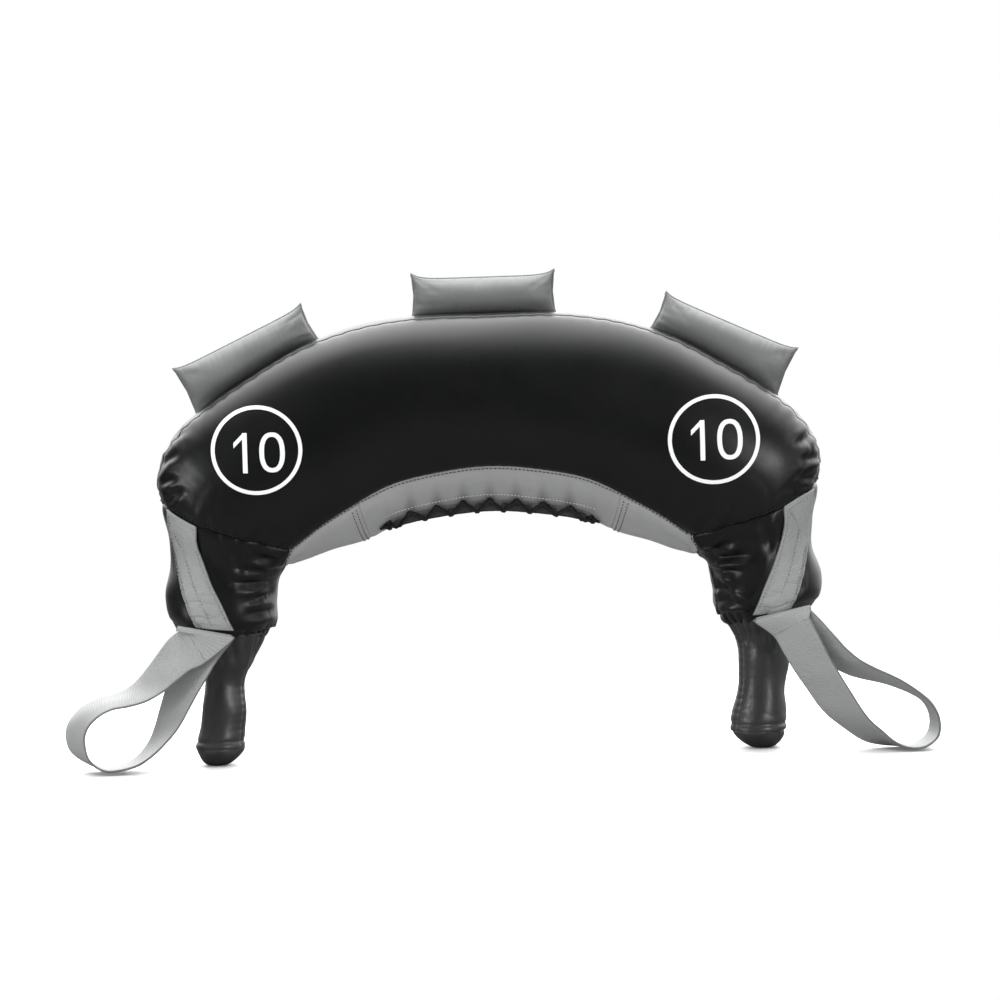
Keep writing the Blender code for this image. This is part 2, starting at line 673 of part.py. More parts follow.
def cover_profile(inset):
    ball = BALL_RADIUS - inset
    rows = []
    for share in np.linspace(BALL_TOP_SHARE, BALL_BOTTOM_SHARE, 5):
        rows.append((NECK_Z + share * BALL_RADIUS, sqrt(ball ** 2 - (share * BALL_RADIUS) ** 2)))
    rows.append((NECK_Z + WAIST_SHARES[0] * BALL_RADIUS, WAIST_SHARES[1] * BALL_RADIUS - inset))
    barrel_top = NECK_Z + SHOULDER_SHARE * BALL_RADIUS
    rows.append((barrel_top, GRIP_RADIUS - inset))
    bulge = barrel_top + (GRIP_END_HEIGHT - barrel_top) * BULGE_PLACE_SHARE
    rows.append(((barrel_top + bulge) / 2, GRIP_RADIUS + GRIP_BULGE / 2 - inset))
    rows.append((bulge, GRIP_RADIUS + GRIP_BULGE - inset))
    rows.append((GRIP_END_HEIGHT, GRIP_RADIUS - inset))
    return rows


def make_grip(side_name, side, lean, collection, materials):
    vinyl, stuffing = materials
    mesh = bmesh.new()
    outer = add_sheet(mesh, grip_rings(side, lean, cover_profile(0)), ring=True)
    inner = add_sheet(mesh, grip_rings(side, lean, cover_profile(COVER_THICKNESS)), ring=True)
    bridge(mesh, outer[0], inner[0])
    bridge(mesh, outer[-1], inner[-1])
    cover = finish_object(mesh, f"{side_name}_grip_cover", collection, vinyl)

    mesh = bmesh.new()
    inside = cover_profile(COVER_THICKNESS + CORE_CLEARANCE)
    rows = add_sheet(mesh, grip_rings(side, lean, inside), ring=True)
    add_fan(mesh, rows[0])
    add_fan(mesh, rows[-1])
    core = finish_object(mesh, f"{side_name}_grip_core", collection, stuffing)

    mesh = bmesh.new()
    top = GRIP_END_HEIGHT - SEAM_GAP
    rounding = GRIP_RADIUS - FOOT_RADIUS
    profile = [(top, GRIP_RADIUS)]
    for angle in (30, 60, 90):
        height = top * (1 - sin(radians(angle)))
        profile.append((height, FOOT_RADIUS + rounding * cos(radians(angle))))
    rows = add_sheet(mesh, grip_rings(side, lean, profile), ring=True)
    add_fan(mesh, rows[0])
    add_fan(mesh, rows[-1])
    end = finish_object(mesh, f"{side_name}_grip_end", collection, vinyl)
    return [cover, core, end]


# Pad frame: middle of its top edge, direction along it and direction away from the crescent.
def pad_frame(side):
    if side == 0:
        return np.array((0, 0, BODY_HEIGHT + TOP_PAD_HEIGHT)), np.array((1.0, 0, 0)), np.array((0, 0, 1.0))
    tilt = radians(SIDE_PAD_TILT) * side
    along = np.array((cos(tilt), 0, -sin(tilt)))
    up = np.array((sin(tilt), 0, cos(tilt)))
    foot = skin_point(SIDE_PAD_SHARE * MOUTH_STATION * side, 0)
    return foot + up * SIDE_PAD_HEIGHT, along, up


# Height, measured along the pad's own upward direction, of the gusset under places along the pad.
def pad_seat(side, places):
    top, along, up = pad_frame(side)
    u = np.linspace(-CUFF_STATION, CUFF_STATION, 1200)
    outline = skin_point(u, 0)
    offsets = (outline - top) @ along
    heights = (outline - top) @ up
    return np.interp(places, offsets, heights)


# Half thickness of the pillow over its length (p, -1 to 1) and height (q, 0 to 1).
def pad_thickness(p, q):
    along = np.sqrt(np.clip(1 - np.abs(p) ** PAD_END_FULLNESS, 0, 1))
    up = np.clip(1 - np.abs(2 * q - 1) ** PAD_SIDE_FULLNESS, 0, 1) ** PAD_SIDE_TAPER
    return PAD_EDGE_HALF + (PAD_HALF_THICKNESS - PAD_EDGE_HALF) * along * up


# Front and back surface of a pad as rows along it and columns from its front lower edge over
# its top to its back lower edge, drawn in by an inset.
def pad_surface(side, inset, floor):
    top, along, up = pad_frame(side)
    even = np.linspace(-1, 1, 11)
    p = even + (even ** 3 - even) * PAD_CROWDING_SHARE
    q = 0.5 - 0.5 * np.cos(np.linspace(0, pi, 7))
    q = np.concatenate((q, q[-2::-1]))
    p_grid, q_grid = np.meshgrid(p, q, indexing="ij")
    places = p_grid * (PAD_HALF_LENGTH - inset)
    seat = pad_seat(side, places) + PAD_GAP + floor
    crest = -inset - PAD_SAG * (1 - p_grid ** 2)
    heights = seat + (crest - seat) * q_grid
    across = pad_thickness(p_grid, q_grid) - inset
    sign = np.where(np.arange(len(q)) < len(q) // 2, FRONT, BACK)
    across = across * sign
    across[:, len(q) // 2] = 0
    points = top + places[..., None] * along + heights[..., None] * up
    points[..., 1] = across
    return points


# The sewn edge that a pad folds about: a straight line just above the gusset's crown, along the
# chord between the pad's two lower corners. Returns its middle and its direction.
def pad_hinge(side):
    top, along, up = pad_frame(side)
    places = np.linspace(-PAD_HALF_LENGTH, PAD_HALF_LENGTH, 21)
    seat = top + places[:, None] * along + pad_seat(side, places)[:, None] * up
    chord = seat[-1] - seat[0]
    chord /= np.linalg.norm(chord)
    outward = np.cross(chord, (0, 1, 0))
    crown = ((seat - seat[0]) @ outward).max()
    middle = (seat[0] + seat[-1]) / 2
    return middle + outward * (crown + PAD_GAP + PAD_HINGE_RISE), chord


def close_pad_end(mesh, row):
    last = len(row) - 1
    for j in range(last // 2):
        corners = (row[j], row[j + 1], row[last - j - 1], row[last - j])
        mesh.faces.new(corners if len(set(corners)) == 4 else corners[:2] + corners[3:])


def make_pad(name, side, collection, materials):
    vinyl, stuffing = materials
    mesh = bmesh.new()
    mouths = []
    for inset in (0, PAD_COVER):
        rows = add_sheet(mesh, pad_surface(side, inset, 0))
        close_pad_end(mesh, rows[0])
        close_pad_end(mesh, rows[-1])
        mouths.append([row[0] for row in rows] + [row[-1] for row in reversed(rows)])
    bridge(mesh, *mouths)
    cover = finish_object(mesh, f"{name}_cover", collection, vinyl)

    mesh = bmesh.new()
    rows = add_sheet(mesh, pad_surface(side, PAD_COVER + PAD_FILL_CLEARANCE, PAD_EDGE_HALF))
    close_pad_end(mesh, rows[0])
    close_pad_end(mesh, rows[-1])
    for low, high in zip(rows, rows[1:]):
        mesh.faces.new((low[0], high[0], high[-1], low[-1]))
    foam = finish_object(mesh, f"{name}_foam", collection, stuffing)
    return [cover, foam]


# An empty on a joint's axis, its X axis along it, that carries the pieces that move about it.
def hang_on_joint(name, place, axis, pieces, collection):
    pivot = bpy.data.objects.new(name, None)
    turn = Vector(axis).to_track_quat("X", "Z").to_matrix().to_4x4()
    pivot.matrix_world = Matrix.Translation(Vector(place)) @ turn
    collection.objects.link(pivot)
    for piece in pieces:
        piece.parent = pivot
        piece.matrix_parent_inverse = pivot.matrix_world.inverted()


def main():
    remove_everything()
    bag = new_collection("sandbag_trainer")
    cutters = new_collection("cutters")
    black = make_material("black_vinyl", *BLACK_VINYL)
    grey = make_material("grey_vinyl", *GREY_VINYL)
    inner_grey = make_material("inner_vinyl", *INNER_VINYL)
    webbing = make_material("webbing", *WEBBING)
    cord = make_material("cord", *CORD)
    cloth = make_material("sack_cloth", *SACK_CLOTH)
    stuffing = make_material("stuffing", *STUFFING)

    whole = steps_between(-CUFF_STATION, CUFF_STATION)
    make_panel("front_panel", whole, columns(1, 2), bag, black)
    make_panel("back_panel", whole, columns(-2, -1), bag, black)
    make_panel("outer_gusset", whole, columns(-1, 1), bag, black)
    middle = closure_stations(0)
    right = np.concatenate((middle[-1:], steps_between(CENTRE_STATION, CUFF_STATION)))
    make_panel("inner_panel_right", right, columns(2, 4), bag, inner_grey)
    make_panel("inner_panel_left", -right[::-1], columns(2, 4), bag, inner_grey)

    slit = column_at(0, SLIT_HALF_WIDTH)
    front_columns = np.append(columns(2, 3)[:-1], slit)
    lips = {
        FRONT: make_panel("closure_lip_front", middle, front_columns, bag, inner_grey),
        BACK: make_panel("closure_lip_back", middle, -front_columns[::-1], bag, inner_grey),
    }
    cut_lace_slots(lips, cutters)
    make_tongue(bag, black)
    make_lace(bag, cord)
    make_knot("lace_knot_left", -1, bag, cord)
    make_knot("lace_knot_right", 1, bag, cord)

    make_sack("fill_middle", -CENTRE_STATION, CENTRE_STATION, bag, cloth)
    for side_name, side in (("left", -1), ("right", 1)):
        make_cuff(f"{side_name}_cuff", side, bag, black)
        shoulder = sorted((CENTRE_STATION * side, CUFF_STATION * side))
        make_sack(f"{side_name}_shoulder_fill", *shoulder, bag, cloth)
        pouch = sorted((CUFF_STATION * side, (MOUTH_STATION - 3 / STEPS_PER_STATION) * side))
        make_sack(f"{side_name}_cuff_fill", *pouch, bag, cloth)
        make_strap(f"{side_name}_side_strap", side, bag, webbing)
    for side_name, side, shares, lean in (("left", -1, LEFT_LOOP_SHARES, LEFT_LEAN),
                                          ("right", 1, RIGHT_LOOP_SHARES, RIGHT_LEAN)):
        loop = make_loop(f"{side_name}_loop", side, shares, bag, webbing)
        fold_middle, fold_axis, fold_half = fold_frame(side)
        hang_on_joint(f"{side_name}_loop_fold", fold_middle, fold_axis, [loop], bag)
        grip = make_grip(side_name, side, lean, bag, (black, stuffing))
        hang_on_joint(f"{side_name}_grip_neck", (side * NECK_X, 0, NECK_Z), (0, 1, 0), grip, bag)
    for name, side in (("left_pad", -1), ("top_pad", 0), ("right_pad", 1)):
        pad = make_pad(name, side, bag, (grey, stuffing))
        hang_on_joint(f"{name}_seam", *pad_hinge(side), pad, bag)


main()
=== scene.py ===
# Sandbag trainer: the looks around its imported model. Metres, +X right, +Y away from the viewer, +Z up.

from math import cos, pi, radians, sin, sqrt, tan

import bpy
import numpy as np
from mathutils import Matrix, Vector


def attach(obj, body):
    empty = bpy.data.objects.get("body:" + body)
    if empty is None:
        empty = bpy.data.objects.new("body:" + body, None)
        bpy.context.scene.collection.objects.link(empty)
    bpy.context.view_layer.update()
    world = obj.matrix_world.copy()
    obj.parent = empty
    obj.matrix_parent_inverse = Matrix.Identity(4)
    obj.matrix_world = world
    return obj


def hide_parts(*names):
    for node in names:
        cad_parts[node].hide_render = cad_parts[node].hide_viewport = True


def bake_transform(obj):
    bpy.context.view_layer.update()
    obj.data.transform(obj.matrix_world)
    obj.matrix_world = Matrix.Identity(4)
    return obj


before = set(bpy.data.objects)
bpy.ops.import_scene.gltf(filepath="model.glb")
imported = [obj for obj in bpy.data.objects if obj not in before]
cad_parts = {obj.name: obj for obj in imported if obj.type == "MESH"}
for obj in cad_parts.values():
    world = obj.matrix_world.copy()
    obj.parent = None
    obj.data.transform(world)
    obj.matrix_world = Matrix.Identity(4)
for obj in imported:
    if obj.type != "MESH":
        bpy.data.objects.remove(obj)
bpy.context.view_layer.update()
print("frame loaded")

view = {
    "place": (0.009, -2.5, 0.350), "target": (0.009, 0.0, 0.2315), "lens": 100.0, "sensor": 36, "roll": 1.9,
}


# Matrix of a camera or a lamp that stands at a place and looks at a target.
def aimedAt(target, place):
    ahead = Vector(target) - Vector(place)
    return Matrix.Translation(place) @ ahead.to_track_quat("-Z", "Y").to_matrix().to_4x4()


def makeCamera(settings):
    data = bpy.data.cameras.new("camera")
    data.lens = settings["lens"]
    data.sensor_width = settings["sensor"]
    camera = bpy.data.objects.new("camera", data)
    bpy.context.scene.collection.objects.link(camera)
    roll = Matrix.Rotation(radians(-settings["roll"]), 4, "Z")
    camera.matrix_world = aimedAt(settings["target"], settings["place"]) @ roll
    bpy.context.scene.camera = camera


makeCamera(view)


# Stops of a colour ramp, as places and colours.
def setStops(colours, stops):
    while len(colours.elements) < len(stops):
        colours.elements.new(0.5)
    for element, (place, colour) in zip(colours.elements, stops):
        element.position = place
        element.color = (*colour, 1)


# One output of a node, so that shader maths can be written as plain expressions.
class Sock:
    def __init__(self, tree, out):
        self.tree = tree
        self.out = out

    def maths(self, operation, *values):
        return self.tree.node("Math", {"operation": operation}, *values)

    def __add__(self, other):
        return self.maths("ADD", self, other)

    def __sub__(self, other):
        return self.maths("SUBTRACT", self, other)

    def __rsub__(self, other):
        return self.maths("SUBTRACT", other, self)

    def __mul__(self, other):
        return self.maths("MULTIPLY", self, other)

    __radd__ = __add__
    __rmul__ = __mul__


# A material's node tree; node() adds any node from its type, its settings and its sockets' values.
class Tree:
    def __init__(self, name):
        self.material = bpy.data.materials.new(name)
        self.material.use_nodes = True
        self.nodes = self.material.node_tree.nodes
        self.links = self.material.node_tree.links
        self.shader = self.nodes["Principled BSDF"]

    def node(self, kind, settings=None, *values, out=0, **named):
        made = self.nodes.new("ShaderNode" + kind)
        for key, value in (settings or {}).items():
            if key == "stops":
                setStops(made.color_ramp, value)
            else:
                setattr(made, key, value)
        for key, value in [*enumerate(values), *named.items()]:
            socket = made.inputs[key.replace("_", " ") if isinstance(key, str) else key]
            if isinstance(value, Sock):
                self.links.new(value.out, socket)
            elif value is not None:
                socket.default_value = value
        return Sock(self, made.outputs[out])

    # Black up to the first place on a ramp and white from the second one on.
    def tone(self, value, ends):
        return self.node("ValToRGB", {"stops": ((ends[0], (0, 0, 0)), (ends[1], (1, 1, 1)))}, value)

    # Inputs 0, 6 and 7 of a Mix node are its factor and its two colours, output 2 is its colour.
    def mixColour(self, share, first, second):
        first, second = (value if isinstance(value, Sock) else (*value, 1) for value in (first, second))
        made = self.nodes.new("ShaderNodeMix")
        made.data_type = "RGBA"
        for index, value in ((0, share), (6, first), (7, second)):
            if isinstance(value, Sock):
                self.links.new(value.out, made.inputs[index])
            else:
                made.inputs[index].default_value = value
        return Sock(self, made.outputs[2])

    def place(self):
        return self.node("TexCoord", out="Object")

    def finish(self, colour, roughness, bumps=(), **plain):
        for name, value in (("Base Color", colour), ("Roughness", roughness)):
            socket = self.shader.inputs[name]
            if isinstance(value, Sock):
                self.links.new(value.out, socket)
            else:
                socket.default_value = (*value, 1) if name == "Base Color" else value
        normal = None
        for height, distance in bumps:
            normal = self.node("Bump", None, Strength=1.0, Distance=distance, Height=height, Normal=normal)
        if normal is not None:
            self.links.new(normal.out, self.shader.inputs["Normal"])
        for name, value in plain.items():
            self.shader.inputs[name.replace("_", " ")].default_value = value
        return self.material


# Coated vinyl: a fine pebbled grain, faint smears in the gloss and a slight change of tone. Where a
# piece has the attribute "shade", its colour goes to a near-black one: painted shade.
def makeVinyl(name, dark, light, gloss, grain, shade=None):
    tree = Tree(name)
    place = tree.place()
    pebbles = tree.node("TexVoronoi", {"feature": "SMOOTH_F1"}, Vector=place, Scale=grain["scale"],
                        Smoothness=0.4)
    pores = tree.node("TexNoise", None, Vector=place, Scale=grain["scale"] * grain["pores"], Detail=2.0)
    smears = tree.node("TexNoise", None, Vector=place, Scale=grain["smears"], Detail=3.0, Roughness=0.6)
    dust = tree.node("TexNoise", None, Vector=place, Scale=grain["dust"], Detail=2.0)
    tone = tree.tone(smears * 0.75 + dust * 0.25, grain["toneEnds"])
    colour = tree.mixColour(tone, dark, light)
    # Painted shade: the colour darkens where the attribute "shade" is high.
    if shade:
        amount = tree.node("Attribute", {"attribute_name": shade}, out="Fac")
        colour = tree.mixColour(amount * (0.8 + 0.2 * smears), colour, grain["soiled"])
    roughness = gloss[0] + (gloss[1] - gloss[0]) * (smears * 0.8 + dust * 0.2)
    height = pebbles * 0.7 + pores * 0.3
    return tree.finish(colour, roughness, ((height, grain["depth"]),), Specular_IOR_Level=grain["specular"])


# Narrow ribbed webbing, from its own map in metres: weft ribs across, warp ends along.
def makeWebbing(name, dark, light, weave, roughness):
    tree = Tree(name)
    cloth = tree.node("UVMap", {"uv_map": "weave"})
    along, across = (tree.node("SeparateXYZ", None, cloth, out=k) for k in (0, 1))
    ribs = tree.node("Math", {"operation": "SINE"}, along * (2 * pi / weave["weft"]))
    ends = tree.node("Math", {"operation": "SINE"}, across * (2 * pi / weave["warp"]))
    height = ribs * 0.5 + ends * 0.3
    fuzz = tree.node("TexNoise", None, Vector=tree.place(), Scale=weave["fuzz"], Detail=2.0)
    streaks = tree.node("TexNoise", {"noise_dimensions": "1D"}, W=along * weave["streaks"], Detail=2.0)
    tone = tree.tone((height * 0.25 + 0.5) * 0.45 + fuzz * 0.2 + streaks * 0.35, weave["toneEnds"])
    # Painted shade: the colour darkens towards both edges of the webbing.
    toEdge = tree.node("Math", {"operation": "ABSOLUTE"}, across)
    edge = tree.node("MapRange", {"interpolation_type": "SMOOTHSTEP"}, toEdge, *weave["shadedEdgeSpan"], 0.0, 1.0)
    patches = tree.node("TexNoise", None, Vector=tree.place(), Scale=weave["patches"], Detail=2.0)
    colour = tree.mixColour(edge * weave["shadedEdgeShare"], tree.mixColour(tone, dark, light), weave["shadedEdgeColour"])
    return tree.finish(colour, roughness + weave["uneven"] * patches,
                       ((height, weave["ribDepth"]), (fuzz, weave["fuzzDepth"])),
                       Specular_IOR_Level=weave["specular"])


# Plain spun thread or braided cord.
def makeThread(name, colour, light, scale, roughness):
    tree = Tree(name)
    twist = tree.node("TexNoise", None, Vector=tree.place(), Scale=scale, Detail=2.0)
    return tree.finish(tree.mixColour(twist, colour, light), roughness, ((twist, 0.00015),))


# Matt printing ink, slightly uneven.
def makeInk(name, colour, light):
    tree = Tree(name)
    patches = tree.node("TexNoise", None, Vector=tree.place(), Scale=240.0, Detail=3.0)
    return tree.finish(tree.mixColour(patches, colour, light), 0.45 + 0.2 * patches, ((patches, 0.00004),))


vinylGrain = {
    "scale": 1500.0, "pores": 1.9, "smears": 16.0, "dust": 420.0, "toneEnds": (0.32, 0.68), "depth": 0.00006,
    "specular": 0.5, "soiled": (0.022, 0.022, 0.021),
}
shinyGrain = {**vinylGrain, "specular": 1.0}
# Dark tone, light tone and span of roughness of each vinyl.
vinyls = {
    "black": ((0.0034, 0.0036, 0.0038), (0.0052, 0.0055, 0.0058), (0.30, 0.40)),
    "grip": ((0.0160, 0.0166, 0.0170), (0.0280, 0.0288, 0.0294), (0.33, 0.45)),
    "grey": ((0.150, 0.156, 0.152), (0.178, 0.184, 0.180), (0.42, 0.56)),
    "inner": ((0.250, 0.252, 0.252), (0.290, 0.292, 0.292), (0.46, 0.60)),
    "tongue": ((0.020, 0.020, 0.020), (0.042, 0.042, 0.042), (0.50, 0.65)),
}
blackVinyl = makeVinyl("blackVinyl", *vinyls["black"], vinylGrain)
# The grips' vinyl: a lighter copy of the black one; its lighter tone is painted sheen.
gripVinyl = makeVinyl("gripVinyl", *vinyls["grip"], shinyGrain)
greyVinyl = makeVinyl("greyVinyl", *vinyls["grey"], vinylGrain)
innerVinyl = makeVinyl("innerVinyl", *vinyls["inner"], vinylGrain)
# The lips: the inner vinyl with painted shade near the lace.
lipVinyl = makeVinyl("lipVinyl", *vinyls["inner"], vinylGrain, "shade")
tongueVinyl = makeVinyl("tongueVinyl", *vinyls["tongue"], vinylGrain)
ribbedWeave = {
    "weft": 0.0016, "warp": 0.0012, "fuzz": 900.0, "streaks": 520.0, "patches": 38.0,
    "toneEnds": (0.30, 0.70), "shadedEdgeSpan": (0.0176, 0.0186), "shadedEdgeColour": (0.10, 0.10, 0.10),
    "shadedEdgeShare": 0.75, "uneven": 0.12, "ribDepth": 0.00012, "fuzzDepth": 0.00005, "specular": 0.35,
}
webbing = makeWebbing("webbing", (0.215, 0.22, 0.22), (0.345, 0.35, 0.35), ribbedWeave, 0.34)
blackCord = makeThread("blackCord", (0.006, 0.006, 0.0065), (0.018, 0.018, 0.019), 1600.0, 0.75)
blackThread = makeThread("blackThread", (0.006, 0.006, 0.007), (0.015, 0.015, 0.016), 3000.0, 0.6)
paleThread = makeThread("paleThread", (0.55, 0.55, 0.54), (0.75, 0.75, 0.74), 3000.0, 0.6)
greyThread = makeThread("greyThread", (0.17, 0.17, 0.17), (0.26, 0.26, 0.26), 3000.0, 0.65)
whiteInk = makeInk("whiteInk", (0.80, 0.80, 0.80), (0.86, 0.86, 0.86))
sackCloth = makeThread("sackCloth", (0.50, 0.45, 0.37), (0.62, 0.57, 0.48), 900.0, 0.9)
stuffing = makeThread("stuffing", (0.70, 0.69, 0.65), (0.80, 0.79, 0.75), 500.0, 0.95)
print("materials made")


# Corners of the quads between the rows and columns of a grid of vertex numbers.
def gridFaces(numbers):
    corners = numbers[:-1, :-1], numbers[:-1, 1:], numbers[1:, 1:], numbers[1:, :-1]
    return np.stack(corners, -1).reshape(-1, 4)


# Quads between the rows and columns of grids of points (rows, columns, 3), all in one mesh. outward
# gives each grid's outward directions, so that its faces point that way; uv, where given, is a
# grid of map coordinates in metres. ring joins the last column to the first one, closed the last
# row to the first one, and caps closes the first and the last row with a fan. thickness adds a wall
# on the inside.
def addGrids(name, material, grids, outward, ring=False, closed=False, caps=False, uv=None, thickness=0.0):
    vertices, quads, fans, maps, start = [], [], [], [], 0
    for index, points in enumerate(grids):
        rows, count = points.shape[:2]
        numbers = np.arange(rows * count).reshape(rows, count) + start
        if ring:
            numbers = np.hstack((numbers, numbers[:, :1]))
        if closed:
            numbers = np.vstack((numbers, numbers[:1]))
        faces = gridFaces(numbers)
        across = points[:-1, 1:] - points[:-1, :-1]
        along = points[1:, :-1] - points[:-1, :-1]
        flip = np.sum(np.cross(across, along) * outward[index][:-1, :-1]) < 0
        quads.append(faces[:, ::-1] if flip else faces)
        vertices.append(points.reshape(-1, 3))
        if uv is not None:
            maps.append(uv[index].reshape(-1, 2))
        start += rows * count
        if caps:
            for row, first in ((0, True), (rows - 1, False)):
                edge = numbers[row]
                middle = np.full(len(edge) - 1, start)
                fan = np.stack((edge[1:], edge[:-1], middle), -1)
                fans.append(fan[:, ::-1] if first == flip else fan)
                vertices.append(points[row].mean(0)[None])
                start += 1
    mesh = bpy.data.meshes.new(name)
    quads = np.vstack(quads)
    fillMesh(mesh, np.vstack(vertices), quads, np.vstack(fans) if fans else None)
    if uv is not None:
        layer = mesh.uv_layers.new(name="weave")
        layer.data.foreach_set("uv", np.vstack(maps)[quads.ravel()].astype(np.float32).ravel())
    return addObject(name, mesh, material, thickness)


def addObject(name, mesh, material, thickness=0.0):
    mesh.materials.append(material)
    thing = bpy.data.objects.new(name, mesh)
    bpy.context.scene.collection.objects.link(thing)
    if thickness:
        wall = thing.modifiers.new("wall", "SOLIDIFY")
        wall.thickness = thickness
        wall.offset = -1
    return thing


def fillMesh(mesh, vertices, quads, fans=None):
    corners = quads.ravel() if fans is None else np.concatenate((quads.ravel(), fans.ravel()))
    sizes = np.full(len(quads), 4) if fans is None else np.repeat((4, 3), (len(quads), len(fans)))
    mesh.vertices.add(len(vertices))
    mesh.vertices.foreach_set("co", np.asarray(vertices, np.float32).ravel())
    mesh.loops.add(len(corners))
    mesh.loops.foreach_set("vertex_index", corners.astype(np.int32))
    mesh.polygons.add(len(sizes))
    mesh.polygons.foreach_set("loop_start", (np.cumsum(sizes) - sizes).astype(np.int32))
    mesh.update(calc_edges=True)
    mesh.validate()
    mesh.shade_smooth()


def unit(vectors):
    return vectors / np.maximum(np.linalg.norm(vectors, axis=-1, keepdims=True), 1e-9)


# Outward directions of a grid whose rows run round a middle line.
def fromMiddle(points):
    return points - points.mean(axis=1, keepdims=True)


# Places along a stitch from end (-1) to end (1), how blunt it is, how far it bends up and sinks in.
stitch = {
    "places": (-1.0, -0.82, -0.35, 0.35, 0.82, 1.0), "bluntness": 5, "thinnest": 0.02,
    "bend": 0.9, "sink": 0.35,
}


# Short rounded stitches: a bent capsule of six sides for each pair of points, half sunk along its
# normal.
def addStitches(name, material, starts, ends, normals, radius):
    middle = (starts + ends) / 2
    half = (ends - starts) / 2
    side = unit(np.cross(normals, half)) * radius
    lift = unit(normals) * radius
    t = np.array(stitch["places"])
    swell = np.sqrt(np.clip(1 - np.abs(t) ** stitch["bluntness"], stitch["thinnest"], 1))[None, :, None, None]
    rise = (stitch["bend"] * (1 - t ** 2) - stitch["sink"])[None, :, None, None]
    angles = (np.arange(6) * pi / 3)[None, None, :, None]
    shape = (len(starts), len(t), 6, 3)
    points = np.broadcast_to(middle[:, None, None], shape) + half[:, None, None] * t[None, :, None, None]
    points = points + side[:, None, None] * (np.cos(angles) * swell)
    points = points + lift[:, None, None] * (np.sin(angles) * swell + rise)
    count = len(t) * 6
    local = np.arange(count).reshape(len(t), 6)
    quads = gridFaces(np.hstack((local, local[:, :1])))
    caps = np.array(((0, 3, 2, 1), (0, 5, 4, 3)))
    ending = count - 6 + np.array(((0, 1, 2, 3), (0, 3, 4, 5)))
    template = np.vstack((quads, caps, ending))
    faces = (template[None] + np.arange(len(starts))[:, None, None] * count).reshape(-1, 4)
    mesh = bpy.data.meshes.new(name)
    fillMesh(mesh, points.reshape(-1, 3), faces)
    return addObject(name, mesh, material)


# Tube round a line of points: a circle carried along it on a frame that turns as little as it can.
def tubeRows(line, radius, sides):
    tangent = unit(np.gradient(line, axis=0))
    normal = np.cross(tangent[0], (0.3, 0.9, 0.2))
    normals = []
    for direction in tangent:
        normal = normal - direction * (normal @ direction)
        normal = normal / np.linalg.norm(normal)
        normals.append(normal)
    normals = np.array(normals)
    side = np.cross(tangent, normals)
    angles = np.linspace(0, 2 * pi, sides, endpoint=False)
    radius = np.broadcast_to(radius, len(line))[:, None, None]
    return line[:, None] + radius * (normals[:, None] * np.cos(angles)[None, :, None]
                                     + side[:, None] * np.sin(angles)[None, :, None])


noise = {"waves": 18, "spread": 2.6, "level": 3.0}


# Smooth random field of about unit size: the sum of sine waves in random directions, drawn from a
# fixed seed and divided by a level.
def softNoise(seed, *coordinates):
    random = np.random.default_rng(seed)
    places = np.stack(np.broadcast_arrays(*coordinates), -1)
    waves = random.normal(size=(places.shape[-1], noise["waves"])) * noise["spread"]
    offsets = random.uniform(0, 2 * pi, noise["waves"])
    return np.sin(places @ waves + offsets).sum(-1) / noise["level"]


# Sharp folds: one along the zero lines of a soft field, falling to nothing beside them.
def ridges(field, sharpness):
    return np.exp(-np.abs(field) * sharpness)


# Eased step from 0 at start to 1 at end.
def ramp(value, start, end):
    f = np.clip((value - start) / (end - start), 0, 1)
    return f * f * (3 - 2 * f)


# Smooth curve (Catmull-Rom) through rows of values at whole steps of t, with a row before the first.
def smoothRows(rows, t, before=None):
    rows = np.asarray(rows, float)
    t = np.asarray(t, float)
    first = 2 * rows[0] - rows[1] if before is None else before
    padded = np.vstack((first, rows, 2 * rows[-1] - rows[-2]))
    step = np.clip(np.floor(t).astype(int), 0, len(rows) - 2)
    f = (t - step)[..., None]
    p0, p1, p2, p3 = (padded[step + k] for k in range(4))
    return p1 + 0.5 * f * (p2 - p0 + f * (2 * p0 - 5 * p1 + 4 * p2 - p3 + f * (3 * (p1 - p2) + p3 - p0)))


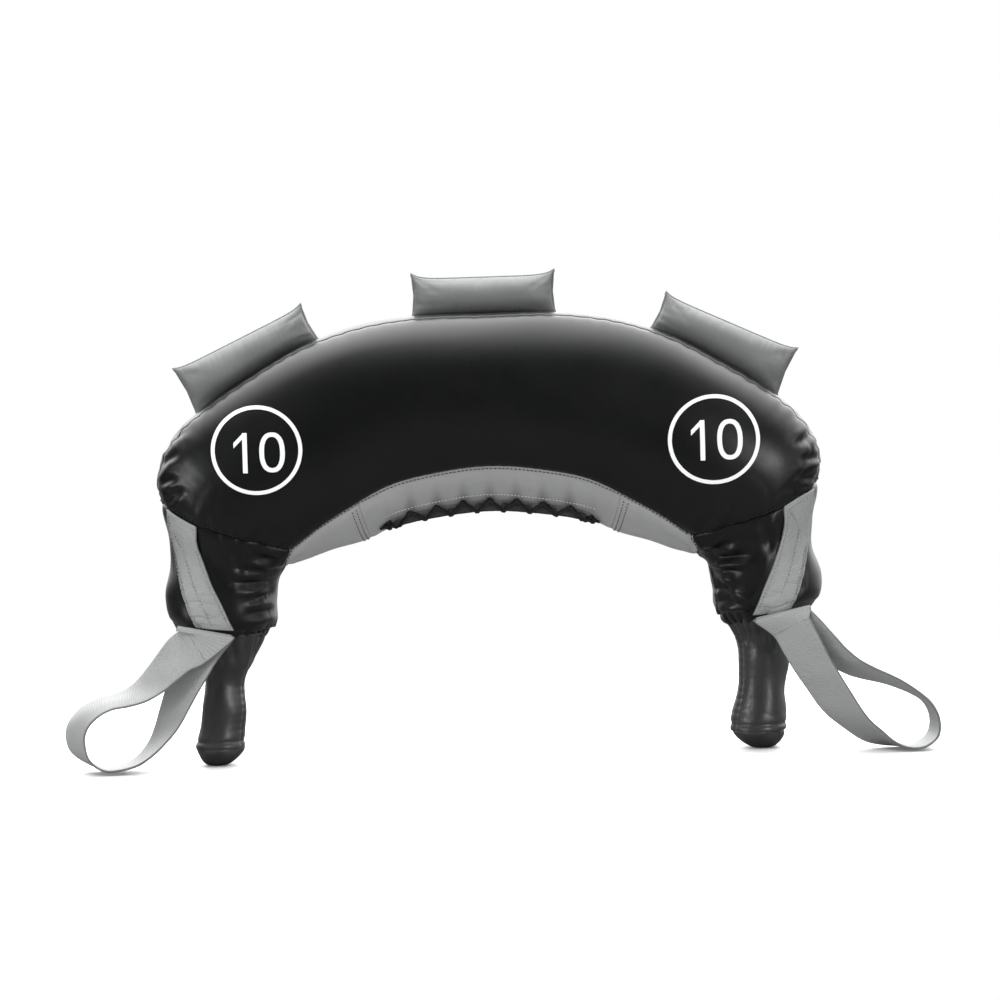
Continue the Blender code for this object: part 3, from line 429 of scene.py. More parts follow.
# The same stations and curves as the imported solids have: outer and inner point, half depth, and the
# lower seam, as shares of the crescent's half width, height and half depth.
body = {
    "halfWidth": 0.298, "height": 0.400, "halfDepth": 0.082,
    "neck": (0.802 * 0.298, 0.27 * 0.400), "mouthRadius": 0.0205, "mouthRise": 0.006, "openingHalf": 0.107,
    "stationShares": (
        (0.000, 1.000, 0.000, 0.553, 1.000, 0.235, 0.70),
        (0.201, 0.999, 0.138, 0.545, 1.000, 0.225, 0.70),
        (0.386, 0.980, 0.268, 0.528, 1.000, 0.210, 0.69),
        (0.554, 0.939, 0.386, 0.496, 0.990, 0.180, 0.67),
        (0.701, 0.879, 0.477, 0.478, 0.970, 0.140, 0.64),
        (0.832, 0.817, 0.547, 0.460, 0.940, 0.100, 0.61),
        (0.940, 0.750, 0.594, 0.450, 0.890, 0.070, 0.58),
        (0.997, 0.665, 0.611, 0.446, 0.820, 0.050, 0.55),
        (0.990, 0.582, 0.621, 0.442, 0.745, 0.040, 0.52),
        (0.970, 0.515, 0.638, 0.425, 0.670, 0.067, 0.50),
        (0.970, 0.455, 0.648, 0.398, 0.635, 0.067, 0.50),
        (0.987, 0.390, 0.654, 0.368, 0.610, 0.067, 0.50),
        (0.984, 0.335, 0.665, 0.325, 0.570, 0.067, 0.50),
        (0.957, 0.303, 0.690, 0.298, 0.465, 0.067, 0.50),
    ),
    "gussetShares": ((1.000, 0.00), (1.000, 0.16), (0.995, 0.33), (0.985, 0.49)),
    "frontStartShare": (0.900, 1.04), "frontEndShare": (0.285, 1.20),
    "innerStartShare": (0.47, 0.86), "innerEndShare": (0.00, 0.46),
    "cuffSeamAngles": (0, 27, 150, 180), "roundingShares": (0.4643, 0.6786),
    "closureEnds": (2.35, 2.80),
    # Station of the seam between panels and cuff at columns 0 to 3.
    "cuffSeam": ((0.0, 7.90), (0.6, 7.80), (1.0, 7.76), (1.2, 7.80), (1.4, 7.77), (1.55, 7.58), (1.7, 7.18),
                 (1.8, 6.72), (1.9, 6.10), (2.0, 5.40), (2.12, 5.62), (2.4, 6.85), (2.7, 7.75), (3.0, 8.00)),
    # Across a lip, from its seam on the panel to its edge: height and depth as shares of the seam's.
    "lipShares": ((1.00, 1.00), (0.64, 0.83), (0.40, 0.60), (0.29, 0.39), (0.245, 0.27), (0.225, 0.20),
                  (0.185, 0.165), (0.110, 0.145), (0.065, 0.130)),
}
lastStation, cuffStation = 14, 8


def makeStations(settings):
    width, height, depth = settings["halfWidth"], settings["height"], settings["halfDepth"]
    rows = np.array(settings["stationShares"]) * np.array((width, height, width, height, depth, 1, 1))
    x, z = settings["neck"]
    rise = settings["mouthRise"]
    mouth = sqrt(settings["mouthRadius"] ** 2 - rise ** 2)
    last = np.array((x + mouth, z + rise, x - mouth, z + rise, mouth, *rows[-1][5:]))
    return np.vstack((rows, last))


stations = makeStations(body)
beforeMiddle = stations[1] * np.array((-1, 1, -1, 1, 1, 1, 1))


def bezier(handles, t):
    p0, p1, p2, p3 = handles
    rest = 1 - t
    return p0 * rest ** 3 + 3 * p1 * t * rest ** 2 + 3 * p2 * t ** 2 * rest + p3 * t ** 3


# Bezier handles of a circular arc, in shares of a section's height and depth.
def arcHandles(start, end):
    reach = 4 / 3 * tan((end - start) / 4)
    points = ((cos(start), sin(start)), (cos(start) - reach * sin(start), sin(start) + reach * cos(start)),
              (cos(end) + reach * sin(end), sin(end) - reach * cos(end)), (cos(end), sin(end)))
    return [(0.5 + 0.5 * along, across) for along, across in points]


cuffAngles = [radians(angle) for angle in body["cuffSeamAngles"]]
cuffHandles = [arcHandles(first, second) for first, second in zip(cuffAngles, cuffAngles[1:])]


# Shares of the section's height and half depth at column s: the body's curves eased into the
# cuff's round ones, and into the lips' own profile beside the laced opening.
def sectionShares(s, seamHeight, seamDepth, roundness, closure):
    gusset, seam = body["gussetShares"], (seamHeight, seamDepth)
    height, depth = body["frontEndShare"]
    front = (gusset[-1], body["frontStartShare"], (seamHeight + height, depth), seam)
    start, end = body["innerStartShare"], body["innerEndShare"]
    inner = (seam, (seamHeight * start[0], seamDepth * start[1]), (end[0], seamDepth * end[1]), (0, 0))
    along, across = np.zeros(s.shape), np.zeros(s.shape)
    lip = smoothRows(body["lipShares"], np.clip(s - 2, 0, 1) * (len(body["lipShares"]) - 1))
    for index, handles in enumerate((gusset, front, inner)):
        inside = (s >= index) & (s <= index + 1)
        for axis, result in ((0, along), (1, across)):
            plain = bezier([handle[axis] for handle in handles], s - index)
            round_ = bezier([handle[axis] for handle in cuffHandles[index]], s - index)
            value = plain + (round_ - plain) * roundness
            if index == 2:
                own = lip[..., axis] * seam[axis]
                value = value + (own - value) * closure
            result[inside] = value[inside]
    return along, across


# Columns run round the crescent from its outer middle (0) to its inner one (3), or -3 behind.
def wrapColumn(s):
    return np.where(s > 3, s - 6, np.where(s < -3, s + 6, s))


# Point of the plain skin at station u (negative to the left) and column s (negative behind).
def skinPoint(u, s):
    u, s = np.broadcast_arrays(np.asarray(u, float), np.asarray(s, float))
    s = wrapColumn(s)
    row = smoothRows(stations, np.abs(u), beforeMiddle)
    outer, inner = row[..., 0:2], row[..., 2:4]
    roundness = ramp(np.abs(u) / lastStation, *body["roundingShares"])
    closure = 1 - ramp(np.abs(u), *body["closureEnds"])
    along, across = sectionShares(np.abs(s), row[..., 5], row[..., 6], roundness, closure)
    place = inner + (outer - inner) * along[..., None]
    x = place[..., 0] * np.where(u < 0, -1, 1)
    y = across * row[..., 4] * np.where(s < 0, 1, -1)
    return np.stack((x, y, place[..., 1]), -1)


# Point, outward normal, and metres per station and per column of the plain skin.
def skinFrame(u, s):
    step = 0.04
    u, s = np.broadcast_arrays(np.asarray(u, float), np.asarray(s, float))
    low, high = np.maximum(u - step, -lastStation), np.minimum(u + step, lastStation)
    along = (skinPoint(high, s) - skinPoint(low, s)) / (high - low)[..., None]
    across = (skinPoint(u, s + step) - skinPoint(u, s - step)) / (2 * step)
    rates = [np.linalg.norm(way, axis=-1) for way in (along, across)]
    return skinPoint(u, s), unit(np.cross(across, along)), *rates


# Length from the start of a line to each of its points.
def lengthAlong(points):
    return np.concatenate(([0], np.cumsum(np.linalg.norm(np.diff(points, axis=0), axis=1))))


# Points at given lengths along a line, where run is the length at each of its own points.
def pointsAt(lengths, run, points):
    return np.stack([np.interp(lengths, run, points[:, axis]) for axis in range(3)], -1)


# Lengths along the skin's lines of columns 0 to 3, and along the cuff's seam, as tables to look up.
stationSteps = np.linspace(0, lastStation, 600)
columnSteps = np.linspace(0, 3, 300)
seamLengths = {s: lengthAlong(skinPoint(stationSteps, float(s))) for s in (0, 1, 2, 3)}
cuffSeamLengths = lengthAlong(skinPoint(float(cuffStation), columnSteps))


def lengthAt(seam, u):
    return np.interp(np.abs(u), stationSteps, seamLengths[seam]) * np.sign(u)


def stationAt(x):
    return float(np.interp(abs(x), skinPoint(stationSteps, 3)[:, 0], stationSteps)) * (1 if x > 0 else -1)


# Height of the crescent's underside along its middle.
def bottomAt(x):
    steps = skinPoint(stationSteps, 3)
    return np.interp(np.abs(x), steps[:, 0], steps[:, 2])


closureEdge = abs(stationAt(body["openingHalf"]))
fineColumns = np.linspace(0, 3, 400)
fineSeam = np.interp(fineColumns, *np.array(body["cuffSeam"]).T)
for _ in range(3):
    fineSeam[1:-1] = (fineSeam[:-2] + fineSeam[1:-1] * 2 + fineSeam[2:]) / 4
seamSlope = np.gradient(fineSeam, fineColumns)


def cuffSeamAt(s):
    column = np.abs(np.where(s > 3, s - 6, s))
    return np.interp(column, fineColumns, fineSeam)


# Folds that can be told apart, by their ends and middle in the view from the front, in mm, with
# their depth and half width: those round each cuff's inner corner, and the pulls at the shoulders.
folds = {
    "leftFront": (
        ((-187, 178), (-205, 176), (-232, 183), 2.8, 3.4), ((-189, 172), (-206, 167), (-240, 170), 3.4, 4.0),
        ((-192, 162), (-202, 154), (-220, 151), 3.2, 4.2), ((-195, 144), (-210, 140), (-224, 141), 2.6, 3.6),
        ((-189, 187), (-201, 188), (-214, 195), 2.0, 3.2), ((-195, 158), (-199, 160), (-209, 159), 1.8, 3.0),
        ((-231, 199), (-224, 187), (-223, 170), 1.4, 4.0), ((-292, 272), (-281, 281), (-267, 284), 1.8, 3.0),
        ((-289, 238), (-279, 247), (-268, 255), 2.2, 3.2), ((-291, 256), (-283, 261), (-269, 264), 1.6, 3.0),
        ((-280, 296), (-272, 302), (-259, 303), 1.3, 3.0), ((-291, 247), (-281, 251), (-266, 249), 1.3, 2.6),
        ((-249, 216), (-250, 225), (-246, 233), 1.2, 3.4), ((-204, 199), (-205, 207), (-210, 215), 1.4, 4.5),
        ((-180, 197), (-187, 206), (-198, 221), 1.2, 5.0),
    ),
    "rightFront": (
        ((189, 180), (203, 184), (221, 195), 2.8, 3.2), ((190, 177), (211, 176), (237, 181), 3.2, 3.8),
        ((193, 170), (202, 151), (220, 136), 3.4, 4.2), ((199, 135), (211, 137), (230, 130), 2.8, 3.4),
        ((195, 166), (209, 164), (225, 167), 2.0, 3.4), ((197, 149), (207, 145), (225, 146), 1.8, 3.4),
        ((237, 208), (245, 191), (245, 171), 1.3, 4.0), ((289, 284), (278, 278), (265, 274), 2.2, 3.2),
        ((294, 264), (284, 261), (267, 260), 1.8, 3.2), ((293, 241), (282, 245), (266, 245), 2.0, 3.4),
        ((292, 251), (282, 252), (269, 253), 1.5, 2.8), ((273, 226), (271, 233), (262, 242), 1.4, 3.6),
        ((211, 203), (211, 211), (217, 221), 1.2, 4.5), ((183, 196), (189, 208), (201, 220), 1.2, 5.0),
    ),
    "leftBack": (
        ((-189, 183), (-214, 188), (-244, 184), 2.6, 4.5), ((-192, 166), (-214, 166), (-240, 156), 2.6, 4.5),
        ((-197, 146), (-216, 143), (-240, 133), 2.4, 4.5), ((-296, 258), (-280, 256), (-262, 250), 1.8, 3.5),
        ((-291, 212), (-276, 206), (-262, 196), 2.0, 4.5), ((-292, 170), (-276, 168), (-262, 160), 2.0, 4.5),
        ((-280, 298), (-268, 290), (-256, 278), 1.3, 3.5), ((-208, 214), (-204, 226), (-206, 242), 1.4, 5.0),
    ),
    "rightBack": (
        ((189, 181), (212, 187), (240, 187), 2.8, 4.5), ((193, 163), (216, 168), (242, 162), 2.6, 4.5),
        ((198, 143), (218, 140), (240, 134), 2.4, 4.5), ((296, 262), (281, 262), (264, 257), 1.8, 3.5),
        ((290, 205), (276, 201), (262, 192), 2.0, 4.5), ((291, 176), (277, 170), (266, 160), 2.0, 4.5),
        ((284, 288), (270, 283), (256, 272), 1.3, 3.5), ((210, 218), (205, 228), (203, 243), 1.4, 5.0),
    ),
}


foldShape = {
    "steps": 13, "near": 4, "depth": 1.3, "power": 1.25, "swell": 0.55, "swellAt": 2.1,
    "fadeIn": (-0.15, 0.3), "fadeOut": (0.45, 1.02),
}


# Depth of one fold: a valley between two low swells along a curve through three points in the view
# from the front, fading towards both of its ends, deepest a third of the way along.
def foldDepth(points, start, middle, end, depth, width):
    t = np.linspace(0, 1, foldShape["steps"])[:, None]
    start, middle, end = (np.array(p) / 1000 for p in (start, middle, end))
    bent = 2 * middle - (start + end) / 2
    line = start * (1 - t) ** 2 + 2 * bent * t * (1 - t) + end * t ** 2
    reach = width / 1000
    flat, margin = points[..., (0, 2)], foldShape["near"] * reach
    near = np.all((flat > line.min(0) - margin) & (flat < line.max(0) + margin), -1)
    result = np.zeros(points.shape[:-1])
    flat = flat[near]
    best, place = np.full(len(flat), 1e9), np.zeros(len(flat))
    for index in range(len(line) - 1):
        run = line[index + 1] - line[index]
        f = np.clip(((flat - line[index]) @ run) / (run @ run), 0, 1)
        gap = np.linalg.norm(flat - line[index] - f[:, None] * run, axis=1)
        closer = gap < best
        best[closer] = gap[closer]
        place[closer] = (index + f[closer]) / (len(line) - 1)
    swells = np.exp(-((best - foldShape["swellAt"] * reach) / reach) ** 2)
    profile = np.exp(-(best / reach) ** foldShape["power"]) - foldShape["swell"] * swells
    fade = ramp(place, *foldShape["fadeIn"]), 1 - ramp(place, *foldShape["fadeOut"])
    result[near] = -foldShape["depth"] * depth / 1000 * profile * fade[0] * fade[1]
    return result


# How far the sewn skin stands out of (or in from) the plain one, in metres: valleys at the seams,
# scallops and pulls square to them, puckers at the lace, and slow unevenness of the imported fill. A
# reach is how far a form goes from its seam, waves are the lengths of its soft noise, and what
# grows or ends does so between two stations.
seams = {
    "outerValley": 0.0017, "outerWidth": 0.0035, "lowerValley": 0.0019, "lowerWidth": 0.0030,
    "cuffValley": 0.0021, "cuffWidth": 0.0038, "endValley": 0.0010, "endWidth": 0.0022,
    "scallopPitch": 0.0145, "scallops": (0.0008, 0.0011), "scallopsGrow": (2.0, 6.0), "scallopReach": 0.0085,
    "pulls": (0.0004, 0.0024), "pullsGrow": (4.6, 7.2), "pullWaves": (0.016, 0.085), "pullReach": 0.030,
    "lowerPitch": 0.0085, "lowerScallops": 0.00045, "lowerReach": 0.005,
    "cuffPitch": 0.0170, "cuffScallops": 0.0010, "cuffReach": 0.011,
    "cuffPulls": 0.0016, "cuffPullWaves": (0.022, 0.11), "cuffPullReach": 0.035,
    "uneven": 0.0011, "unevenWaves": (0.11, 0.09, 0.10), "unevenGrows": (0.004, 0.04),
    "peakPitch": 0.0235, "puckers": 0.0016, "puckerAt": 0.007, "puckerReach": 0.0095,
    "puckersEnd": (0.088, 0.100),
}
# A cuff below its seam: gathers that run into its mouth, a hem that folds over the grip's gathered
# neck, the drop beside it on the outer side, and the right cuff's inner side drawn in.
cuffMouth = {
    "gathers": 0.0036, "gatherWave": 0.055, "gathersGrow": (11.4, 13.4), "innerColumns": (1.2, 2.3),
    "hemAt": 12.15, "hemSpread": 0.22, "hemSwell": 0.0022, "hemGrows": (10.9, 12.0), "hemDrop": 0.0018,
    "hemEnds": (12.6, 13.4), "outerDrop": 0.0040, "outerDropGrows": (11.4, 12.6), "drawnIn": 0.0040,
    "drawnColumns": (2.1, 2.9), "drawnGrows": (8.1, 9.3), "drawnEnds": (12.4, 13.2), "sag": 0.0011,
    "sagWaves": (0.05, 0.05, 0.035), "sagGrows": (8.1, 9.5),
}


# Adds the forms below a cuff's seam to rise; l3 is the length round the seam.
def addCuffRise(rise, u, column, seamHere, l3, place):
    au, side = np.abs(u), np.sign(u)
    below = (au > seamHere)
    turn, hemSpread = l3 / cuffMouth["gatherWave"], cuffMouth["hemSpread"]
    across, up = np.cos(turn) * 2.6, np.sin(turn) * 2.6
    gather = ridges(softNoise(21, across, up, side, (au - lastStation) * 0.10), 2.0)
    inner = 0.25 + 0.75 * ramp(column, *cuffMouth["innerColumns"])
    rise += below * (0.5 - gather) * cuffMouth["gathers"] * inner * ramp(au, *cuffMouth["gathersGrow"])
    hem = cuffMouth["hemAt"] + hemSpread * softNoise(23, l3 / 0.05, side)
    past = ramp(au, hem - 0.02, hem + hemSpread)
    rise += cuffMouth["hemSwell"] * inner * ramp(au, *cuffMouth["hemGrows"]) * (1 - past)
    rise -= cuffMouth["hemDrop"] * inner * past * (1 - ramp(au, *cuffMouth["hemEnds"]))
    rise -= (1 - inner) * cuffMouth["outerDrop"] * ramp(au, *cuffMouth["outerDropGrows"])
    rise -= (u > 0) * cuffMouth["drawnIn"] * ramp(column, *cuffMouth["drawnColumns"]) \
        * ramp(au, *cuffMouth["drawnGrows"]) * (1 - ramp(au, *cuffMouth["drawnEnds"]))
    sag = softNoise(25, *(value / wave for value, wave in zip(place, cuffMouth["sagWaves"])))
    rise += below * sag * cuffMouth["sag"] * ramp(au, *cuffMouth["sagGrows"])


def skinRise(u, s, points, rateU, rateS):
    x, y, z = (points[..., axis] for axis in range(3))
    au, column = np.abs(u), np.abs(s)
    side, face = np.sign(u), np.where(s < 0, 7.0, 0.0)
    outer, lower = np.abs(column - 1) * rateS, np.abs(column - 2) * rateS
    seamHere, slope = cuffSeamAt(s), np.interp(column, fineColumns, seamSlope)
    inPanels = (au <= seamHere)
    cuff = np.abs(au - seamHere) * rateU / np.sqrt(1 + (slope * rateU / np.maximum(rateS, 1e-4)) ** 2)
    rise = np.zeros(u.shape)

    # Seams along the crescent.
    rise -= inPanels * seams["outerValley"] * np.exp(-outer / seams["outerWidth"])
    rise -= inPanels * seams["lowerValley"] * np.exp(-lower / seams["lowerWidth"])
    rise -= seams["cuffValley"] * np.exp(-cuff / seams["cuffWidth"])
    l1, l2 = lengthAt(1, u), lengthAt(2, u)
    wander = softNoise(3, l1 / 0.09, face) * 0.9
    scallop = np.abs(np.sin(pi * l1 / seams["scallopPitch"] + wander)) - 0.62
    size = seams["scallops"][0] + seams["scallops"][1] * ramp(au, *seams["scallopsGrow"])
    rise += inPanels * size * scallop * np.exp(-(outer / seams["scallopReach"]) ** 1.2)
    wave, reach = seams["pullWaves"]
    pulls = ridges(softNoise(5, l1 / wave, outer / reach, face), 2.6) * np.exp(-outer / seams["pullReach"])
    rise -= inPanels * (seams["pulls"][0] + seams["pulls"][1] * ramp(au, *seams["pullsGrow"])) * pulls
    small = np.abs(np.sin(pi * l2 / seams["lowerPitch"] + softNoise(9, l2 / 0.06, face))) - 0.6
    rise += inPanels * seams["lowerScallops"] * small * np.exp(-lower / seams["lowerReach"])

    # Seam round the top of each cuff, and the pulls below and above it.
    l3 = np.interp(column, columnSteps, cuffSeamLengths) * np.sign(s) + side * 0.6
    around = np.abs(np.sin(pi * l3 / seams["cuffPitch"] + softNoise(13, l3 / 0.07) * 1.3)) - 0.6
    rise += seams["cuffScallops"] * around * np.exp(-cuff / seams["cuffReach"])
    wave, reach = seams["cuffPullWaves"]
    drag = ridges(softNoise(17, l3 / wave, cuff / reach), 2.4) * np.exp(-cuff / seams["cuffPullReach"])
    rise -= seams["cuffPulls"] * drag * (0.35 + 0.65 * ramp(column, 1.2, 2.4)) * (au > 4.5)
    addCuffRise(rise, u, column, seamHere, l3, (x, y, z))

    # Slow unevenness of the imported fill.
    slow = softNoise(29, *(value / wave for value, wave in zip((x, y, z), seams["unevenWaves"])))
    rise += seams["uneven"] * slow * ramp(np.minimum(outer, lower), *seams["unevenGrows"])

    # Lips: puckers that fan out of the lace's holes, and the valley of the seam at each end.
    onLips = (au < closureEdge) & (column > 2)
    phase = np.pi * 2 * x / seams["peakPitch"] + np.where(s < 0, np.pi, 0.0)
    toEdge = (3 - column) * rateS
    pucker = np.cos(phase + softNoise(33, x / 0.05, face) * 0.5)
    within = 1 - ramp(np.abs(x), *seams["puckersEnd"])
    spread = np.exp(-((toEdge - seams["puckerAt"]) / seams["puckerReach"]) ** 2)
    rise += onLips * within * pucker * seams["puckers"] * spread
    ends = np.abs(au - closureEdge) * rateU
    rise -= (column > 2) * seams["endValley"] * np.exp(-ends / seams["endWidth"])

    for name, group in folds.items():
        facing = ((s > 0) if "Front" in name else (s < 0)) & ((u < 0) if "left" in name else (u > 0))
        for fold in group:
            rise += foldDepth(points, *fold) * facing * ramp(np.abs(y), 0.004, 0.03)
    return rise * (1 - 0.85 * underStrap(u, s))


# A side strap's two edges as stations and columns, from its top to its lower end.
strap = {
    "outer": ((7.72, 1.13), (8.85, 1.02), (9.95, 1.07), (11.10, 1.22), (12.30, 1.33)),
    "inner": ((7.72, 1.41), (8.90, 1.357), (10.00, 1.427), (11.00, 1.55), (12.52, 1.69)),
    "rise": 0.0008, "thickness": 0.0020, "rows": 130, "columns": 36,
    # Where each strap's lower end is: the left one clears the loop that swings past it.
    "end": {-1: 0.970, 1: 1.0},
    # Rounded selvedge, the groove along its stitches, and creases, stronger towards the lower end.
    "edgeDrop": (0.0010, 0.0012), "groove": (0.00035, 0.0032, 0.0008), "wave": 0.0006, "crease": 0.0015,
    # Rows of stitches, each between two places down and across the strap: along both edges, twice on
    # the outer one, down the middle, across the ends, and in a V below the top.
    "stitchRows": (
        ((0.02, 0.085), (0.97, 0.085)), ((0.02, 0.145), (0.97, 0.145)), ((0.02, 0.915), (0.97, 0.915)),
        ((0.30, 0.50), (0.94, 0.50)), ((0.965, 0.09), (0.965, 0.91)), ((0.915, 0.09), (0.915, 0.91)),
        ((0.03, 0.09), (0.03, 0.91)), ((0.30, 0.50), (0.04, 0.12)), ((0.30, 0.50), (0.04, 0.88)),
    ),
    "stitchPitch": 0.0034, "stitchHalf": 0.00105, "stitchRadius": 0.00042, "stitchLift": 0.0001,
}


def strapEdge(name, v):
    return smoothRows(strap[name], np.clip(v, 0, 1) * (len(strap[name]) - 1))


# 1 where a side strap is sewn on the cuff, 0 away from it.
def underStrap(u, s):
    v = (np.abs(u) - strap["outer"][0][0]) / (strap["outer"][-1][0] - strap["outer"][0][0])
    outer, inner = strapEdge("outer", v)[..., 1], strapEdge("inner", v)[..., 1]
    beside = ramp(s, outer - 0.08, outer) * (1 - ramp(s, inner, inner + 0.08))
    return beside * ramp(v, -0.12, 0.02) * (1 - ramp(v, 1.02, 1.12))


# Point of the sewn skin: the plain one stood off by its rise.
def sewnPoint(u, s):
    u, s = np.broadcast_arrays(np.asarray(u, float), np.asarray(s, float))
    wrapped = wrapColumn(s)
    points, normals, rateU, rateS = skinFrame(u, wrapped)
    rise = skinRise(u, wrapped, points, rateU, rateS)
    return points + normals * rise[..., None]


# Point at a height over the sewn skin, and the outward normal there.
def sewnFrame(u, s, height=0.0):
    step = 0.012
    along = sewnPoint(u + step, s) - sewnPoint(u - step, s)
    across = sewnPoint(u, s + step) - sewnPoint(u, s - step)
    normal = unit(np.cross(across, along))
    return sewnPoint(u, s) + normal * height, normal


panels = {"wall": 0.0010, "tuck": 0.0022, "stepsPerStation": 14, "innerRows": 80, "cuffRows": 120}


# Even spacing in metres between two columns at the crescent's middle.
def columnLine(start, end, count):
    fine = np.linspace(start, end, 400)
    spacing = lengthAlong(skinPoint(np.full(fine.shape, 4.0), fine))
    return np.interp(np.linspace(0, spacing[-1], count), spacing, fine)


# A panel's grid over stations and columns, with one more row on each side tucked in behind its
# seams.
def makePanel(name, node, u, s, material, slot):
    grid, normals = sewnPoint(u, s), skinFrame(u, s)[1]
    for axis in (0, 1):
        ends = [np.take(grid, [k], axis) - np.take(normals, [k], axis) * panels["tuck"] for k in (0, -1)]
        grid = np.concatenate((ends[0], grid, ends[1]), axis)
        normals = np.concatenate([np.take(normals, [0], axis), normals, np.take(normals, [-1], axis)], axis)
    panel = addGrids(name, material, [grid], [normals], thickness=panels["wall"])
    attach(panel, "shell")
    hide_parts(node)
    return panel


# Stations from one cuff's seam to the other, or from the laced opening to a cuff's seam.
def wholeLength(s):
    share = np.linspace(-1, 1, 2 * cuffStation * panels["stepsPerStation"] + 1)[:, None]
    return share * cuffSeamAt(s), np.broadcast_to(s, (len(share), s.shape[1]))


def fromOpening(s, side):
    share = np.linspace(0, 1, panels["innerRows"])[:, None]
    u = closureEdge + (cuffSeamAt(s) - closureEdge) * share
    return u * side, np.broadcast_to(s, u.shape)


frontColumns, gussetColumns = columnLine(1, 2, 66)[None], columnLine(0, 1, 17)
innerColumns = columnLine(2, 3, 34)
aroundInner = np.concatenate((innerColumns, 6 - innerColumns[-2::-1]))[None]
aroundGusset = np.concatenate((-gussetColumns[:0:-1], gussetColumns))[None]
makePanel("frontPanel", "front_panel", *wholeLength(frontColumns), blackVinyl, "black_vinyl")
makePanel("backPanel", "back_panel", *wholeLength(-frontColumns), blackVinyl, "black_vinyl")
makePanel("outerGusset", "outer_gusset", *wholeLength(aroundGusset), blackVinyl, "black_vinyl")
makePanel("innerPanelRight", "inner_panel_right", *fromOpening(aroundInner, 1), innerVinyl, "inner_vinyl")
makePanel("innerPanelLeft", "inner_panel_left", *fromOpening(aroundInner, -1), innerVinyl, "inner_vinyl")

# The lips' edges: how high they are cut over the crescent's underside, in front as a peak at each
# hole and behind as a slot, level past the last holes and down again at both ends. Painted shade
# reaches up from the edge, further beside a hole.
lips = {
    "rows": 220, "columns": 46, "frontPeak": 0.0112, "backSlot": 0.0098, "slotHalf": 0.003, "overlap": 0.0006,
    "level": 0.0040, "levelFrom": (0.064, 0.074), "levelEnds": (0.084, 0.092),
    "shadeReach": 0.0090, "holeShadeReach": 0.0085, "shadeEnds": (0.082, 0.098),
}
lipLine = np.linspace(-closureEdge, closureEdge, lips["rows"])[:, None]
lipColumns = np.broadcast_to(columnLine(2, 3, lips["columns"])[None], (lips["rows"], lips["columns"]))
lipStations = np.broadcast_to(lipLine, lipColumns.shape)


def lipLift(x, side):
    pitch = seams["peakPitch"]
    away = np.abs((x / pitch + (0.5 if side > 0 else 0.0)) % 1 - 0.5) * pitch
    if side > 0:
        lift = np.maximum(lips["frontPeak"] * (1 - 2 * away / pitch), 0)
    else:
        lift = lips["backSlot"] * np.exp(-(away / lips["slotHalf"]) ** 2)
    lift = np.maximum(lift - lips["overlap"], lips["level"] * ramp(np.abs(x), *lips["levelFrom"]))
    return lift * (1 - ramp(np.abs(x), *lips["levelEnds"]))


def makeLip(name, node, side):
    lift = lipLift(skinPoint(lipLine, 3.0)[:, 0, 0], side)
    fine = np.linspace(2.2, 3, 33)
    heights = skinPoint(lipLine, fine[None])[..., 2]
    heights = heights - heights[:, -1:]
    edge = np.array([np.interp(-a, -row, fine) for a, row in zip(lift, heights)])[:, None]
    columns = (2 + (lipColumns - 2) * (edge - 2)) * side
    lip = makePanel(name, node, lipStations, columns, lipVinyl, "inner_vinyl")
    # Painted shade on the lip: darker up from its edge, reaching higher beside each hole, fading out towards
    # both ends.
    points = np.empty(len(lip.data.vertices) * 3, np.float32)
    lip.data.vertices.foreach_get("co", points)
    x, _, z = points.reshape(-1, 3).T
    up = z - bottomAt(x)
    nearHole = 0.5 + 0.5 * np.cos(2 * pi * x / seams["peakPitch"] + (0.0 if side > 0 else pi))
    reach = lips["shadeReach"] + lips["holeShadeReach"] * nearHole ** 2
    shade = np.exp(-(np.maximum(up, 0) / reach) ** 2) * (1 - ramp(np.abs(x), *lips["shadeEnds"]))
    layer = lip.data.attributes.new("shade", "FLOAT", "POINT")
    layer.data.foreach_set("value", shade.astype(np.float32))


makeLip("lipFront", "closure_lip_front", 1)
makeLip("lipBack", "closure_lip_back", -1)
print("panels made")


def makeCuff(name, node, side):
    half = np.concatenate((columnLine(0, 1, 14)[:-1], columnLine(1, 2, 50)[:-1], columnLine(2, 3, 34)[:-1]))
    s = np.concatenate((half, 6 - np.append(half[1:], 3)[::-1]))[None]
    u = cuffSeamAt(s) + (lastStation - cuffSeamAt(s)) * np.linspace(0, 1, panels["cuffRows"])[:, None]
    s = np.broadcast_to(s, u.shape)
    grid, normals = sewnPoint(u * side, s), skinFrame(u * side, np.where(s > 3, s - 6, s))[1]
    grid = np.concatenate((grid[:1] - normals[:1] * panels["tuck"], grid))
    cuff = addGrids(name, blackVinyl, [grid], [np.concatenate((normals[:1], normals))], ring=True,
                    thickness=panels["wall"])
    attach(cuff, "shell")
    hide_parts(node)


makeCuff("leftCuff", "left_cuff", -1)
makeCuff("rightCuff", "right_cuff", 1)
print("cuffs made")


